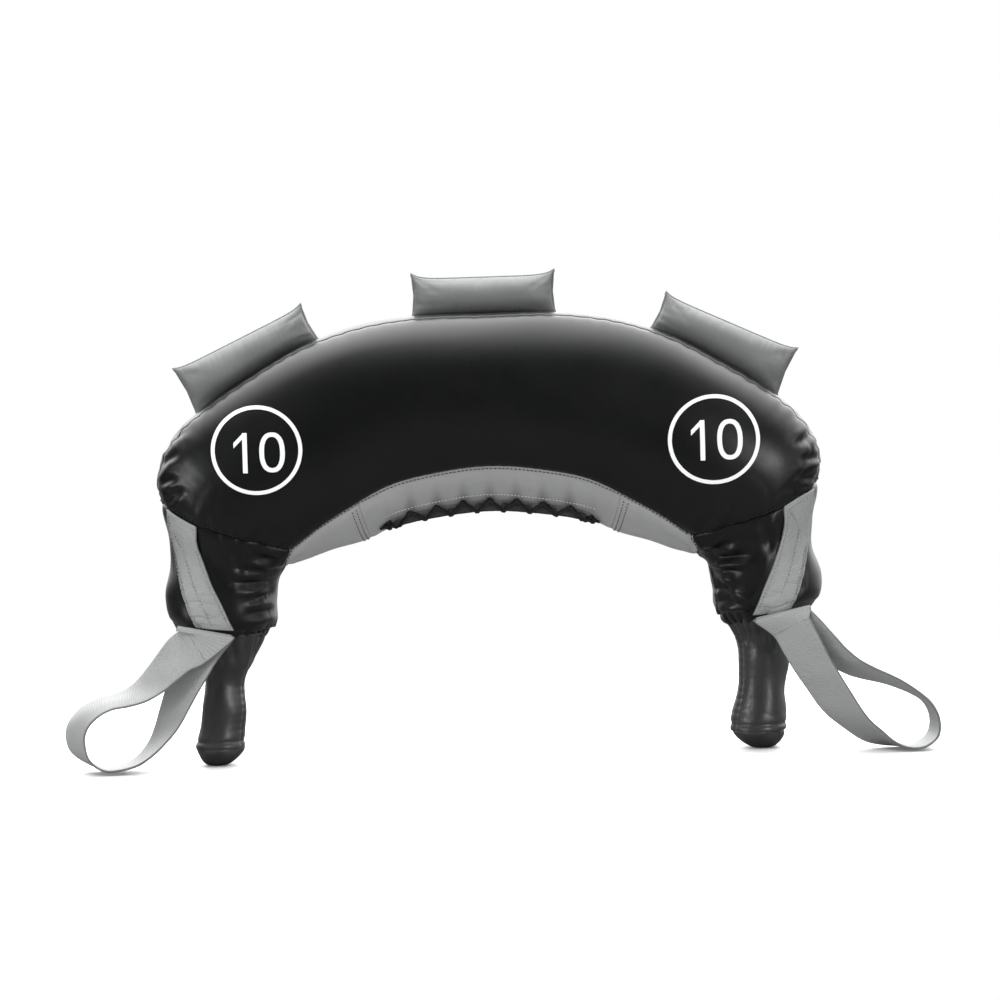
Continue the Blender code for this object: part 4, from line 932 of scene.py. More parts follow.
closure = {
    # The tongue: half length, how high it reaches inside the lips, how far inside the skin it lies
    # there and in its middle, and how far its middle drops out between the lips.
    "tongueHalf": 0.1045, "tongueRows": 150, "tongueColumns": 25, "tongueEdge": 0.0150,
    "tongueInside": -0.0028, "tongueBulge": -0.0010, "tongueDrop": 0.0028, "tongueMiddle": (0.0083, 0.0100),
    "tongueEnds": (0.084, 0.100), "tongueGather": 0.0004, "tongueWall": 0.0008,
    # The cord: its heights over the crescent's underside at its holes and where it crosses, and how
    # far its front legs spread and its back ones lean.
    "cordRadius": 0.0015, "cordTop": 0.0100, "cordLow": -0.0018, "cordLift": 0.0012,
    "spread": 0.93, "lean": 0.05, "holes": 15, "twist": 0.0011, "twistSwell": 0.05, "cordStep": 0.0022,
    "cordSides": 10, "knotAt": 0.0915, "knotRadius": 0.0046, "knotTail": (0.007, -0.003, -0.004),
    # Pale running stitches along both hems.
    "hemColumn": 2.25, "hemHalf": 0.092, "stitchPitch": 0.0031, "stitchLength": 0.0018,
    "stitchRadius": 0.00036,
}


# Columns of the lips' skin at heights over the crescent's underside, for each station.
def lipColumnAt(u, heights):
    fine = np.linspace(2.15, 3, 41)
    rows = skinPoint(u[:, None], fine[None])[..., 2]
    return np.array([np.interp(-h, row[-1] - row, fine) for h, row in zip(heights, rows)])


# Dark tongue behind the lace: lies inside the lips and bulges out between their edges.
def makeTongue():
    x = np.linspace(-closure["tongueHalf"], closure["tongueHalf"], closure["tongueRows"])
    u = np.array([stationAt(value) for value in x])
    edge = lipColumnAt(u, np.full(x.shape, closure["tongueEdge"]))[:, None]
    count = closure["tongueColumns"]
    column = edge + (3 - edge) * np.linspace(0, 1, count)[None]
    column, facing = np.hstack((column, column[:, -2::-1])), np.repeat((1, -1), (count, count - 1))
    points, normals, _, _ = skinFrame(np.broadcast_to(u[:, None], column.shape), column * facing)
    middle = 1 - ramp(np.abs(points[..., 1]), *closure["tongueMiddle"])
    bulge = middle * (1 - ramp(np.abs(x), *closure["tongueEnds"]))[:, None]
    gather = ridges(softNoise(41, x[:, None] / 0.010, points[..., 1] / 0.02), 2.0)
    rise = closure["tongueInside"] * (1 - bulge) + closure["tongueBulge"] * bulge
    rise = rise - closure["tongueGather"] * gather
    points = points + normals * rise[..., None]
    points[..., 2] -= closure["tongueDrop"] * bulge
    tongue = addGrids("closureTongue", tongueVinyl, [points], [normals], thickness=closure["tongueWall"])
    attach(tongue, "shell")
    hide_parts("closure_tongue")


# One cord in a zigzag between holes that take turns at the back and the front of the opening: its
# front legs spread, and it crosses under the middle straight below each hole of the back.
def laceLine():
    places = (np.arange(closure["holes"]) - (closure["holes"] - 1) / 2) / 2 * seams["peakPitch"]
    top, low = closure["cordTop"], closure["cordLow"]
    spread, lean = closure["spread"], closure["lean"]
    steps, rows = np.linspace(0, 1, 10), []
    for index, (x, following) in enumerate(zip(places[:-1], places[1:])):
        front, back = (x, following) if index % 2 else (following, x)
        leg = [(front + (back - front) * spread * f, top + (low - top) * f, 1) for f in steps]
        rise = [(back + (front - back) * lean, low + (top - low) * f, -1) for f in steps]
        rows += leg + rise if index % 2 else (leg + rise)[::-1]
    # From the outermost holes at the back the cord comes forward under the middle to its knots.
    out = closure["knotAt"]
    start = [(-out, 0.0030, 1), (-out + 0.003, 0.0010, 1), (places[0] - 0.003, low, 1), (places[0], low, -1)]
    end = [(-x, height, facing) for x, height, facing in start[::-1]]
    x, heights, facing = np.array(start + rows + end).T
    u = np.array([stationAt(value) for value in x])
    points, normals, _, _ = skinFrame(u, lipColumnAt(u, heights) * facing)
    points = points + normals * (closure["cordLift"] * ramp(heights, -0.001, 0.003))[:, None]
    points[:, 2] += np.minimum(heights, 0)
    return points


def makeLace():
    line = laceLine()
    run = lengthAlong(line)
    line = pointsAt(np.arange(0, run[-1], closure["cordStep"]), run, line)
    line = smoothRows(line, np.linspace(0, len(line) - 1, (len(line) - 1) * 3 + 1))
    swell = 1 + closure["twistSwell"] * np.sin(lengthAlong(line) / closure["twist"])
    tube = tubeRows(line, closure["cordRadius"] * swell, closure["cordSides"])
    lace = addGrids("closureLace", blackCord, [tube], [fromMiddle(tube)], ring=True, caps=True)
    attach(lace, "shell")
    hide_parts("closure_lace")
    return line[0], line[-1]


# A knot: a cord wound round itself along a trefoil, (sin t + 2 sin 2t, cos t - 2 cos 2t, -sin 3t)
# squeezed and set on end, with its cut end beside it.
def makeKnot(name, node, place, side):
    middle, sides = np.asarray(place), closure["cordSides"]
    t = np.linspace(0, 2 * pi, 72, endpoint=False)
    trefoil = np.sin(t) + 2 * np.sin(2 * t), np.cos(t) - 2 * np.cos(2 * t), -1.6 * np.sin(3 * t)
    loopy = closure["knotRadius"] * 0.52 * np.stack(trefoil, -1) / 2
    line = middle + loopy[:, (1, 2, 0)]
    tangent = unit(np.roll(line, -1, 0) - np.roll(line, 1, 0))
    out = line - line.mean(0)
    out = unit(out - tangent * np.sum(out * tangent, -1, keepdims=True))
    beside = np.cross(tangent, out)
    angles = np.linspace(0, 2 * pi, sides, endpoint=False)[:, None]
    around = out[:, None] * np.cos(angles) + beside[:, None] * np.sin(angles)
    tube = line[:, None] + closure["cordRadius"] * around
    tube = np.concatenate((tube, tube[:1]))
    f = np.linspace(0, 1, 12)
    x, y, z = closure["knotTail"]
    tail = middle + np.stack((side * x * f, y * f, z * f + 0.001 * f * f), -1)
    end = tubeRows(tail, closure["cordRadius"] * 0.9, sides)
    knot = addGrids(name, blackCord, [tube, end], [fromMiddle(tube), fromMiddle(end)], ring=True, caps=True)
    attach(knot, "shell")
    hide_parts(node)


# Running stitches along a line of the sewn skin, given as stations and columns.
def stitchLine(name, material, u, s, pitch, length, radius, height=0.0003):
    fine = sewnPoint(u, s)
    run = lengthAlong(fine)
    starts = np.arange(pitch / 2, run[-1] - pitch / 2, pitch)
    t = np.arange(len(u), dtype=float)
    # Stations and columns of each stitch's start, middle and end.
    first, middle, last = (
        [np.interp(np.interp(starts + offset, run, t), t, values) for values in (u, s)]
        for offset in (-length / 2, 0.0, length / 2))
    normals = sewnFrame(*middle)[1]
    first, last = (sewnPoint(*places) + normals * height for places in (first, last))
    thread = addStitches(name, material, first, last, normals, radius)
    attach(thread, "shell")


makeTongue()
laceStart, laceEnd = makeLace()
makeKnot("laceKnotLeft", "lace_knot_left", laceStart, -1)
makeKnot("laceKnotRight", "lace_knot_right", laceEnd, 1)
hemEnd = stationAt(closure["hemHalf"])
alongHem = np.linspace(-hemEnd, hemEnd, 220)
for name, direction in (("hemStitchesFront", 1), ("hemStitchesBack", -1)):
    stitchLine(name, paleThread, alongHem, np.full(alongHem.shape, closure["hemColumn"] * direction),
               closure["stitchPitch"], closure["stitchLength"], closure["stitchRadius"])

# Black stitches: pitch, length, radius and height over the skin, and how far from its seam, in
# stations or columns, each row runs.
endStitches, endOffsets = (0.0034, 0.0017, 0.00036), (0.10, 0.21)
lowerStitches, lowerColumn = (0.0036, 0.0024, 0.00042, 0.0004), 2.012
cuffStitches, cuffOffset = (0.0040, 0.0026, 0.00040, 0.0002), 0.13
for sideName, side in (("Left", -1), ("Right", 1)):
    for row, offset in enumerate(endOffsets):
        downSeam = np.concatenate((np.linspace(2.06, 3, 50), np.linspace(-2.98, -2.06, 49)))
        across = np.full(downSeam.shape, (closureEdge + offset) * side)
        stitchLine(f"closureSeam{sideName}{row}", blackThread, across, downSeam, *endStitches)
print("laced opening made")

for sideName, direction in (("Front", 1), ("Back", -1)):
    along = np.linspace(-5.3, 5.3, 420)
    stitchLine(f"lowerSeam{sideName}", blackThread, along, np.full(along.shape, lowerColumn * direction),
               *lowerStitches)
for sideName, side in (("Left", -1), ("Right", 1)):
    round_ = np.concatenate((np.linspace(0.1, 3, 150), np.linspace(-2.98, -0.1, 149)))
    above = (cuffSeamAt(round_) - cuffOffset) * side
    stitchLine(f"cuffSeam{sideName}", blackThread, above, round_, *cuffStitches)
print("seams stitched")


webbingShape = {"width": 0.038, "thickness": 0.0024}


# Stations and columns of a side strap, down it by v and across it by w.
def strapPlaces(v, w, side):
    v, w = np.broadcast_arrays(v, w)
    outer, inner = strapEdge("outer", v), strapEdge("inner", v)
    place = outer + (inner - outer) * w[..., None]
    return place[..., 0] * side, place[..., 1]


def strapBase(v, w, side):
    u, s = strapPlaces(v, w, side)
    points, normals, _, _ = skinFrame(u, s)
    return (sewnPoint(u, s) + points) / 2, normals


def makeStrap(name, node, side):
    v = np.linspace(0, strap["end"][side], strap["rows"])[:, None]
    w = np.linspace(0, 1, strap["columns"])[None]
    base, normals = strapBase(v, w, side)
    run = lengthAlong(base[:, strap["columns"] // 2 - 1])[:, None]
    edge = np.minimum(w, 1 - w) * webbingShape["width"]
    drop, reach = strap["edgeDrop"]
    rise = strap["rise"] + strap["thickness"] - drop * np.exp(-edge / reach)
    depth, place, half = strap["groove"]
    rise = rise - depth * np.exp(-((edge - place) / half) ** 2)
    rise = rise + strap["wave"] * softNoise(45, run / 0.024, w * 1.6, side)
    lower = 0.25 + 0.75 * ramp(v, 0.55, 1.0)
    rise = rise - strap["crease"] * lower * ridges(softNoise(47, w * 2.2, run / 0.011, side), 2.6)
    points = base + normals * rise[..., None]
    uv = np.stack(np.broadcast_arrays(run, (w - 0.5) * webbingShape["width"]), -1)
    piece = addGrids(name, webbing, [points], [normals], uv=[uv], thickness=strap["thickness"])
    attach(piece, "shell")
    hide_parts(node)
    makeStrapStitches(name, side)


def makeStrapStitches(name, side):
    starts, ends, normals = [], [], []
    for (v0, w0), (v1, w1) in strap["stitchRows"]:
        t = np.linspace(0, 1, 160)
        points, out = strapSurface(v0 + (v1 - v0) * t, w0 + (w1 - w0) * t, side)
        run = lengthAlong(points)
        at = np.arange(0.0017, run[-1] - 0.0016, strap["stitchPitch"])
        for offset, group in ((-strap["stitchHalf"], starts), (strap["stitchHalf"], ends)):
            group.append(pointsAt(at + offset, run, points))
        normals.append(pointsAt(at, run, out))
    starts, ends, normals = (np.vstack(group) for group in (starts, ends, normals))
    thread = addStitches(name + "Stitches", greyThread, starts, ends, normals, strap["stitchRadius"])
    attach(thread, "shell")


def strapSurface(v, w, side):
    base, normals = strapBase(v, w, side)
    return base + normals * (strap["rise"] + strap["thickness"] + strap["stitchLift"]), normals


# The fold that each loop hangs from, mirrored for the left one, and how far a loop's lowest part
# drifts to the back.
loopFold = {
    "middle": (0.2559, -0.04922, 0.12237), "way": (0.9799, 0, 0.19949), "half": 0.02512, "radius": 0.0035,
    "drift": {-1: 0.018, 1: 0.005}, "driftFrom": (0.110, 0.020), "steps": 340,
    "wave": 0.0006, "waveLength": 0.035, "bow": 0.0012, "freeFrom": (0.004, 0.03),
    "floorClear": (0.004, 0.014),
}


# A loop's middle line from the front of its fold round and up to the back of it: distance from the
# crescent's middle, height, turn of the webbing from facing the viewer (0) over edge on (90), and
# place between the fold's front (-1) and back (1).
loopPath = {
    -1: (
        (0.2650, 0.1145, 14, -1.0), (0.2795, 0.1060, 30, -1.0), (0.2901, 0.0963, 40, -0.9),
        (0.3009, 0.0856, 48, -0.7), (0.3128, 0.0764, 59, -0.5), (0.3269, 0.0696, 70, -0.3),
        (0.3410, 0.0655, 75, -0.1), (0.3555, 0.0603, 71, 0.0), (0.3687, 0.0518, 64, 0.0),
        (0.3766, 0.0388, 58, 0.0), (0.3756, 0.0235, 60, 0.0), (0.3660, 0.0105, 76, 0.0),
        (0.3504, 0.0046, 89, 0.0), (0.3350, 0.0055, 92, 0.0), (0.3205, 0.0112, 97, 0.0),
        (0.3082, 0.0215, 107, 0.1), (0.2985, 0.0352, 118, 0.2), (0.2908, 0.0492, 128, 0.4),
        (0.2838, 0.0640, 136, 0.6), (0.2765, 0.0790, 142, 0.8), (0.2690, 0.0935, 150, 1.0),
        (0.2620, 0.1080, 165, 1.0),
    ),
    1: (
        (0.2630, 0.1130, 20, -1.0), (0.2704, 0.0988, 25, -1.0), (0.2773, 0.0851, 30, -0.9),
        (0.2844, 0.0719, 33, -0.8), (0.2927, 0.0588, 37, -0.7), (0.3009, 0.0465, 43, -0.6),
        (0.3098, 0.0345, 50, -0.5), (0.3209, 0.0228, 57, -0.3), (0.3325, 0.0138, 64, -0.2),
        (0.3463, 0.0068, 76, 0.0), (0.3612, 0.0030, 87, 0.0), (0.3764, 0.0042, 91, 0.0),
        (0.3876, 0.0131, 93, 0.0), (0.3892, 0.0278, 93, 0.0), (0.3830, 0.0417, 95, 0.0),
        (0.3714, 0.0514, 99, 0.0), (0.3577, 0.0586, 104, 0.0), (0.3438, 0.0645, 108, 0.1),
        (0.3298, 0.0702, 112, 0.3), (0.3156, 0.0765, 118, 0.5), (0.3025, 0.0850, 126, 0.7),
        (0.2905, 0.0950, 138, 0.9), (0.2790, 0.1050, 152, 1.0), (0.2675, 0.1145, 168, 1.0),
    ),
}


# Half of the outline of the webbing's section: places across it and shares of its thickness.
webbingSection = np.array((
    (-1, 0.15), (-0.985, 0.62), (-0.95, 0.88), (-0.88, 1), (-0.75, 1), (-0.5, 1), (-0.25, 1), (0, 1),
    (0.25, 1), (0.5, 1), (0.75, 1), (0.88, 1), (0.95, 0.88), (0.985, 0.62), (1, 0.15),
)).T


# Centres and half-width vectors of a loop: over its fold, out, down to the floor and back.
def loopRows(side):
    path = np.array(loopPath[side])
    middle, fold = np.array(loopFold["middle"]) * (side, 1, 1), np.array(loopFold["way"]) * (1, 1, side)
    radius = loopFold["radius"]
    centres = np.stack((path[:, 0] * side, middle[1] + radius * path[:, 3], path[:, 1]), -1)
    centres[:, 1] += loopFold["drift"][side] * ramp(centres[:, 2], *loopFold["driftFrom"])
    tangents = np.gradient(centres, axis=0)
    tangents[:, 1] = 0
    flat = np.cross(unit(tangents), (0, 1, 0))
    twist = np.radians(path[:, 2])[:, None]
    widths = (flat * np.cos(twist) - np.array((0, 1.0, 0)) * np.sin(twist)) * webbingShape["width"] / 2
    angles = np.radians((0, 45, 90, 135, 180))[:, None]
    turn = middle + np.hstack((0 * angles, np.cos(angles), np.sin(angles))) * radius
    return np.vstack((centres, turn)), np.vstack((widths, np.repeat([fold * loopFold["half"]], 5, 0)))


def makeLoop(name, node, side):
    centres, widths = loopRows(side)
    count = len(centres)
    wrapped, wrappedWidths = (np.vstack((rows[-2:], rows, rows[:3])) for rows in (centres, widths))
    t = np.linspace(0, count, loopFold["steps"], endpoint=False) + 2
    line, across = smoothRows(wrapped, t), smoothRows(wrappedWidths, t)
    tangents = unit(smoothRows(wrapped, t + 0.02) - smoothRows(wrapped, t - 0.02))
    normals = unit(np.cross(tangents, across))
    run = lengthAlong(np.vstack((line, line[:1])))
    places, height = webbingSection
    ringPlaces = np.concatenate((places, places[::-1]))
    ringHeight = np.concatenate((height, -height[::-1])) * webbingShape["thickness"] / 2
    wave = softNoise(51, run[:-1, None] / loopFold["waveLength"], ringPlaces[None] * 0.9, side)
    free = ramp(np.abs(line[:, 0]) - loopFold["middle"][0], *loopFold["freeFrom"])[:, None]
    lift = ramp(line[:, 2], *loopFold["floorClear"])[:, None]
    bow = -loopFold["bow"] * (ringPlaces[None] ** 2 - 0.4) * free
    offset = ringHeight[None] + (loopFold["wave"] * wave + bow) * free * lift
    points = line[:, None] + across[:, None] * ringPlaces[None, :, None]
    points = points + normals[:, None] * offset[..., None]
    uv = np.stack(np.broadcast_arrays(run[:-1, None], webbingShape["width"] / 2 * ringPlaces[None]), -1)
    loop = addGrids(name, webbing, [points], [fromMiddle(points)], ring=True, closed=True, uv=[uv])
    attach(loop, f"{'left' if side < 0 else 'right'}_loop")
    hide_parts(node)


for sideName, side in (("left", -1), ("right", 1)):
    makeStrap(f"{sideName}SideStrap", f"{sideName}_side_strap", side)
    makeLoop(f"{sideName}Loop", f"{sideName}_loop", side)
print("straps and loops made")


grip = {
    "radius": 0.0215, "pivot": 0.239, "blend": (0.118, 0.088), "wall": 0.0012, "rows": 170, "endRows": 46,
    "pleats": 17, "pleatDepth": 0.0014, "pleatHeights": (0.086, 0.112), "lobes": 7, "lobeDepth": 0.0007,
    "neckPull": 0.0010, "dent": 0.0010, "tug": {-1: 0.0001, 1: 0.0004},
    "seamAngle": {-1: -0.13 * pi, 1: 1.13 * pi}, "seamDepth": 0.0012, "seamHalf": 0.0014, "seamTop": 0.118,
    "seamPitch": 0.0065, "seamPulls": 0.0005, "seamReach": 0.006,
    "creaseAt": 0.0225, "creaseHalf": 0.0022, "creaseDepth": 0.0010, "endDent": 0.0004, "endPleat": 0.0006,
    # The stuffing: how far inside the cover, between which heights, and its own top and lower end.
    "inset": 0.0045, "coreHeights": (0.018, 0.1),
    "coreTop": ((0.1035, 0.0080, 0.2420), (0.1020, 0.0150, 0.2420)), "coreEnd": (0.0185, 0.0120),
    # Outline from inside the cuff down to the end piece: height, radius, distance from the middle.
    "outline": {
        -1: (
            (0.1225, 0.0320, 0.2447), (0.1200, 0.0368, 0.2445), (0.1170, 0.0350, 0.2446),
            (0.1120, 0.0318, 0.2432), (0.1060, 0.0284, 0.2422), (0.0998, 0.0256, 0.2414),
            (0.0910, 0.0230, 0.2416), (0.0836, 0.0205, 0.2431), (0.0750, 0.0193, 0.2447),
            (0.0650, 0.0196, 0.2460), (0.0500, 0.0203, 0.2477), (0.0416, 0.0208, 0.2486),
            (0.0300, 0.0217, 0.2498), (0.0208, 0.0222, 0.2508), (0.0165, 0.0219, 0.2512),
        ),
        1: (
            (0.1225, 0.0310, 0.2447), (0.1200, 0.0362, 0.2445), (0.1170, 0.0345, 0.2438),
            (0.1120, 0.0304, 0.2430), (0.1060, 0.0268, 0.2424), (0.0998, 0.0246, 0.2421),
            (0.0910, 0.0230, 0.2423), (0.0836, 0.0222, 0.2424), (0.0750, 0.0215, 0.2422),
            (0.0650, 0.0211, 0.2414), (0.0500, 0.0213, 0.2399), (0.0416, 0.0218, 0.2390),
            (0.0300, 0.0229, 0.2370), (0.0208, 0.0237, 0.2358), (0.0165, 0.0235, 0.2356),
        ),
    },
    "endOutline": {
        -1: (
            (0.0165, 0.0206, 0.2512), (0.0160, 0.0217, 0.2512), (0.0135, 0.0214, 0.2514),
            (0.0105, 0.0201, 0.2518), (0.0070, 0.0177, 0.2524), (0.0040, 0.0147, 0.2530),
            (0.0016, 0.0112, 0.2535), (0.0004, 0.0080, 0.2537), (0.0, 0.0052, 0.2538),
        ),
        1: (
            (0.0165, 0.0222, 0.2356), (0.0160, 0.0233, 0.2357), (0.0135, 0.0229, 0.2360),
            (0.0105, 0.0215, 0.2366), (0.0070, 0.0188, 0.2375), (0.0040, 0.0155, 0.2384),
            (0.0016, 0.0117, 0.2391), (0.0004, 0.0083, 0.2395), (0.0, 0.0054, 0.2396),
        ),
    },
}


# Rings round an outline's rows: distance from the middle, height, radius and angles.
def gripRings(outline, side, rows, sides=96):
    outline = smoothRows(outline, np.linspace(0, len(outline) - 1, rows))
    z, radius, middle = (outline[:, k:k + 1] for k in range(3))
    return middle * side, z, radius, np.linspace(0, 2 * pi, sides, endpoint=False)[None]


def ringPoints(x, z, radius, angles):
    return np.stack((x + radius * np.cos(angles), radius * np.sin(angles), z + 0 * angles), -1)


# How far a grip's cover stands in or out: pleats that fade below the neck, soft dents, and the seam
# down its inner side with the short pulls beside it.
def coverRise(z, angles, side):
    across, deep = np.cos(angles), np.sin(angles)
    lean = softNoise(61, across * 0.9, deep * 0.9, z / 0.05, side) * 0.8
    pleat = np.cos(grip["pleats"] * angles + lean * 1.8 + 9 * (z - 0.09))
    strength = ramp(z, *grip["pleatHeights"])
    rise = strength * (grip["pleatDepth"] * pleat + grip["lobeDepth"] * np.cos(grip["lobes"] * angles + side))
    rise -= grip["neckPull"] * strength * ridges(softNoise(63, across * 2.4, deep * 2.4, z / 0.03, side), 2)
    rise += grip["dent"] * softNoise(65, across * 0.7, deep * 0.7, z / 0.030, side)
    tug = ridges(softNoise(67, across * 1.3, deep * 1.3, z / 0.012, side), 2.2)
    rise -= grip["tug"][side] * tug * (0.3 + 0.7 * ramp(z, 0.050, 0.020) + 0.6 * ramp(z, 0.060, 0.085))
    seam = np.abs((angles - grip["seamAngle"][side] + pi) % (2 * pi) - pi) * grip["radius"]
    rise -= grip["seamDepth"] * np.exp(-seam / grip["seamHalf"]) * (z < grip["seamTop"])
    small = np.abs(np.sin(pi * z / grip["seamPitch"])) - 0.6
    return rise + grip["seamPulls"] * small * np.exp(-seam / grip["seamReach"])


def makeGrip(sideName, side):
    x, z, radius, angles = gripRings(grip["outline"][side], side, grip["rows"])
    rise = coverRise(z, angles, side)
    crease = np.exp(-((z - grip["creaseAt"]) / grip["creaseHalf"]) ** 2)
    points = ringPoints(x, z, radius + (rise - grip["creaseDepth"] * crease), angles)
    cover = addGrids(f"{sideName}GripCover", gripVinyl, [points], [fromMiddle(points)], ring=True,
                     thickness=grip["wall"])
    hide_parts(f"{sideName}_grip_cover")
    place, (high, low) = grip["pivot"] * side, grip["blend"]
    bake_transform(cover)

    x, z, radius, angles = gripRings(grip["endOutline"][side], side, grip["endRows"])
    rise = grip["endDent"] * softNoise(69, np.cos(angles) * 1.6, np.sin(angles) * 1.6, z / 0.012, side)
    pleat = ridges(softNoise(71, np.cos(angles) * 2.2, np.sin(angles) * 2.2, side), 2)
    rise -= grip["endPleat"] * pleat * ramp(z, 0.003, 0.015)
    points = ringPoints(x, z, radius + rise * ramp(z, 0.0, 0.004), angles)
    end = addGrids(f"{sideName}GripEnd", gripVinyl, [points], [fromMiddle(points)], ring=True, caps=True)
    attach(end, f"{sideName}_grip")
    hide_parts(f"{sideName}_grip_end")

    low, high = grip["coreHeights"]
    rows = [(z, r - grip["inset"], middle) for z, r, middle in grip["outline"][side] if low < z < high]
    rows = [*grip["coreTop"], *rows, (*grip["coreEnd"], rows[-1][2])]
    points = ringPoints(*gripRings(rows, side, 40, 32))
    core = addGrids(f"{sideName}GripCore", stuffing, [points], [fromMiddle(points)], ring=True, caps=True)
    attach(core, f"{sideName}_grip")
    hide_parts(f"{sideName}_grip_core")


makeGrip("left", -1)
makeGrip("right", 1)
print("grips made")


pad = {
    "half": 0.0645, "height": 0.036, "edge": 0.0010, "thickness": 0.0168, "sunk": 0.0012, "tilt": 25,
    "share": 0.28214, "sag": {-1: 0.0024, 0: 0.0042, 1: 0.0024}, "ear": 0.0012, "pinch": 0.0032,
    "columns": 130, "rows": 50, "fullness": 0.9, "blend": (-0.0015, 0.0135),
    # Depth and reach of the pulls at its ends, top and sewn edge, the creases in its upper corners,
    # and slow unevenness.
    "endPulls": (0.0030, 0.013), "topPulls": (0.0013, 0.007), "lowPulls": (0.0014, 0.006),
    "pullWaves": (0.0085, 0.04), "crease": 0.0010, "uneven": 0.0005, "thinnest": 0.0005,
    # The stuffing: how far inside the cover, and its shares along and up the pad.
    "inset": 0.0045, "foamAlong": 0.86, "foamUp": (0.34, 0.82), "pipingRadius": 0.0011, "pipingFlat": 0.8,
}


def padFrame(side):
    tilt = radians(pad["tilt"]) * side
    along, up = np.array((cos(tilt), 0, -sin(tilt))), np.array((sin(tilt), 0, cos(tilt)))
    foot = skinPoint(pad["share"] * lastStation * side, 0.0)
    return foot + up * pad["height"], along, up


def padSeat(side, places):
    top, along, up = padFrame(side)
    outline = skinPoint(np.linspace(-cuffStation, cuffStation, 1200), 0)
    return np.interp(places, (outline - top) @ along, (outline - top) @ up)


# Both faces of a pad: along it by p (-1 to 1), and by q from its sewn edge (0) up to its top (1),
# in front where face is -1. The ends pull in between corners that stand out like ears.
def padPoints(side, p, q, face, inset=0.0):
    top, along, up = padFrame(side)
    reach = pad["half"] - inset - pad["pinch"] * (1 - np.abs(2 * q - 1) ** 3.0) * np.abs(p) ** 6
    places = p * reach
    seat = padSeat(side, places) - pad["sunk"]
    crest = -inset - pad["sag"][side] * (1 - np.abs(p) ** 7) + pad["ear"] * np.abs(p) ** 22
    heights = seat + (crest - seat) * q
    endRound, topRound = (np.clip(1 - value, 0, 1) for value in (np.abs(p) ** 3.2, np.abs(2 * q - 1) ** 2.2))
    round_ = np.sqrt(endRound) * topRound ** 0.72
    across = pad["edge"] + (pad["thickness"] - pad["edge"]) * round_ - inset
    toEnd = (1 - np.abs(p)) * pad["half"]
    toTop, toSeat = (1 - q) * pad["height"], q * pad["height"]
    code = face * 3 + side * 11
    wave, reach = pad["pullWaves"]
    atEnd = ridges(softNoise(73, q * 3.6, toEnd / 0.05, np.sign(p) * 4 + code), 2.4)
    atTop = ridges(softNoise(75, places / wave, toTop / reach, code), 2.6)
    atSeat = ridges(softNoise(77, places / wave, toSeat / reach, code), 2.6)
    # Long creases that run in from each upper corner.
    corner = np.abs(toTop - toEnd * 0.55) / 0.0030
    crease = np.exp(-corner ** 2) * ramp(toEnd, 0.002, 0.008) * (1 - ramp(toEnd, 0.015, 0.034))
    rise = pad["uneven"] * softNoise(79, places / 0.035, q * 1.1, code) - pad["crease"] * crease
    for pulls, away, (depth, fade) in ((atEnd, toEnd, pad["endPulls"]), (atTop, toTop, pad["topPulls"]),
                                       (atSeat, toSeat, pad["lowPulls"])):
        rise = rise - depth * pulls * np.exp(-away / fade)
    across = np.maximum(across + rise * np.minimum(1, round_ * 2.2) * (inset == 0), pad["thinnest"])
    points = top + places[..., None] * along + heights[..., None] * up
    points[..., 1] = across * face
    return points


# A pad's cover or stuffing: its front and its back face in one ring.
def padRing(side, p, q, inset=0.0):
    front = padPoints(side, p[:, None], q[None], -1, inset)
    back = padPoints(side, p[:, None], q[None, ::-1], 1, inset)
    return np.concatenate((front, back), 1)


# Two points on a pad's middle line, just below and above its seat.
def padBend(side):
    top, _, up = padFrame(side)
    middle = top + up * padSeat(side, 0.0)
    return [tuple(middle + up * height) for height in pad["blend"]]


def makePad(sideName, side, node):
    # Columns and rows set closer towards the pad's edges.
    even = np.linspace(-1, 1, pad["columns"])
    p = np.sin(np.linspace(-pi / 2, pi / 2, pad["columns"])) * 0.25 + even * 0.75
    q = 0.5 - 0.5 * np.cos(np.linspace(0, pi, pad["rows"] // 2 + 1))
    points = padRing(side, p, q)
    cover = addGrids(f"{sideName}PadCover", greyVinyl, [points], [fromMiddle(points)], ring=True, caps=True)
    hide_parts(f"{node}_cover")
    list(padBend(side))
    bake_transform(cover)

    p, q = np.linspace(-pad["foamAlong"], pad["foamAlong"], 24), np.linspace(*pad["foamUp"], 9)
    points = padRing(side, p, q, pad["inset"])
    foam = addGrids(f"{sideName}PadFoam", stuffing, [points], [fromMiddle(points)], ring=True, caps=True)
    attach(foam, node)
    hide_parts(f"{node}_foam")
    makePadPiping(sideName, side)


# The sewn edge that stands up round a pad's ends and top.
def makePadPiping(sideName, side):
    p, q = np.linspace(-1, 1, 90), np.linspace(0.02, 1, 30)
    across = np.concatenate((-1 + 0 * q, p[1:-1], 1 + 0 * q))
    height = np.concatenate((q, np.ones(len(p) - 2), q[::-1]))
    line = padPoints(side, across, height, -1) * np.array((1, 0, 1))
    tube = tubeRows(line, pad["pipingRadius"], 8)
    tube[..., 1] *= pad["pipingFlat"]
    piping = addGrids(f"{sideName}PadSeam", greyVinyl, [tube], [fromMiddle(tube)], ring=True, caps=True)
    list(padBend(side))
    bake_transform(piping)


makePad("left", -1, "left_pad")
makePad("top", 0, "top_pad")
makePad("right", 1, "right_pad")
print("pads made")


sacks = {"inside": 0.0095, "bluntness": 8, "thinnest": 0.02, "rows": 26, "sides": 48}


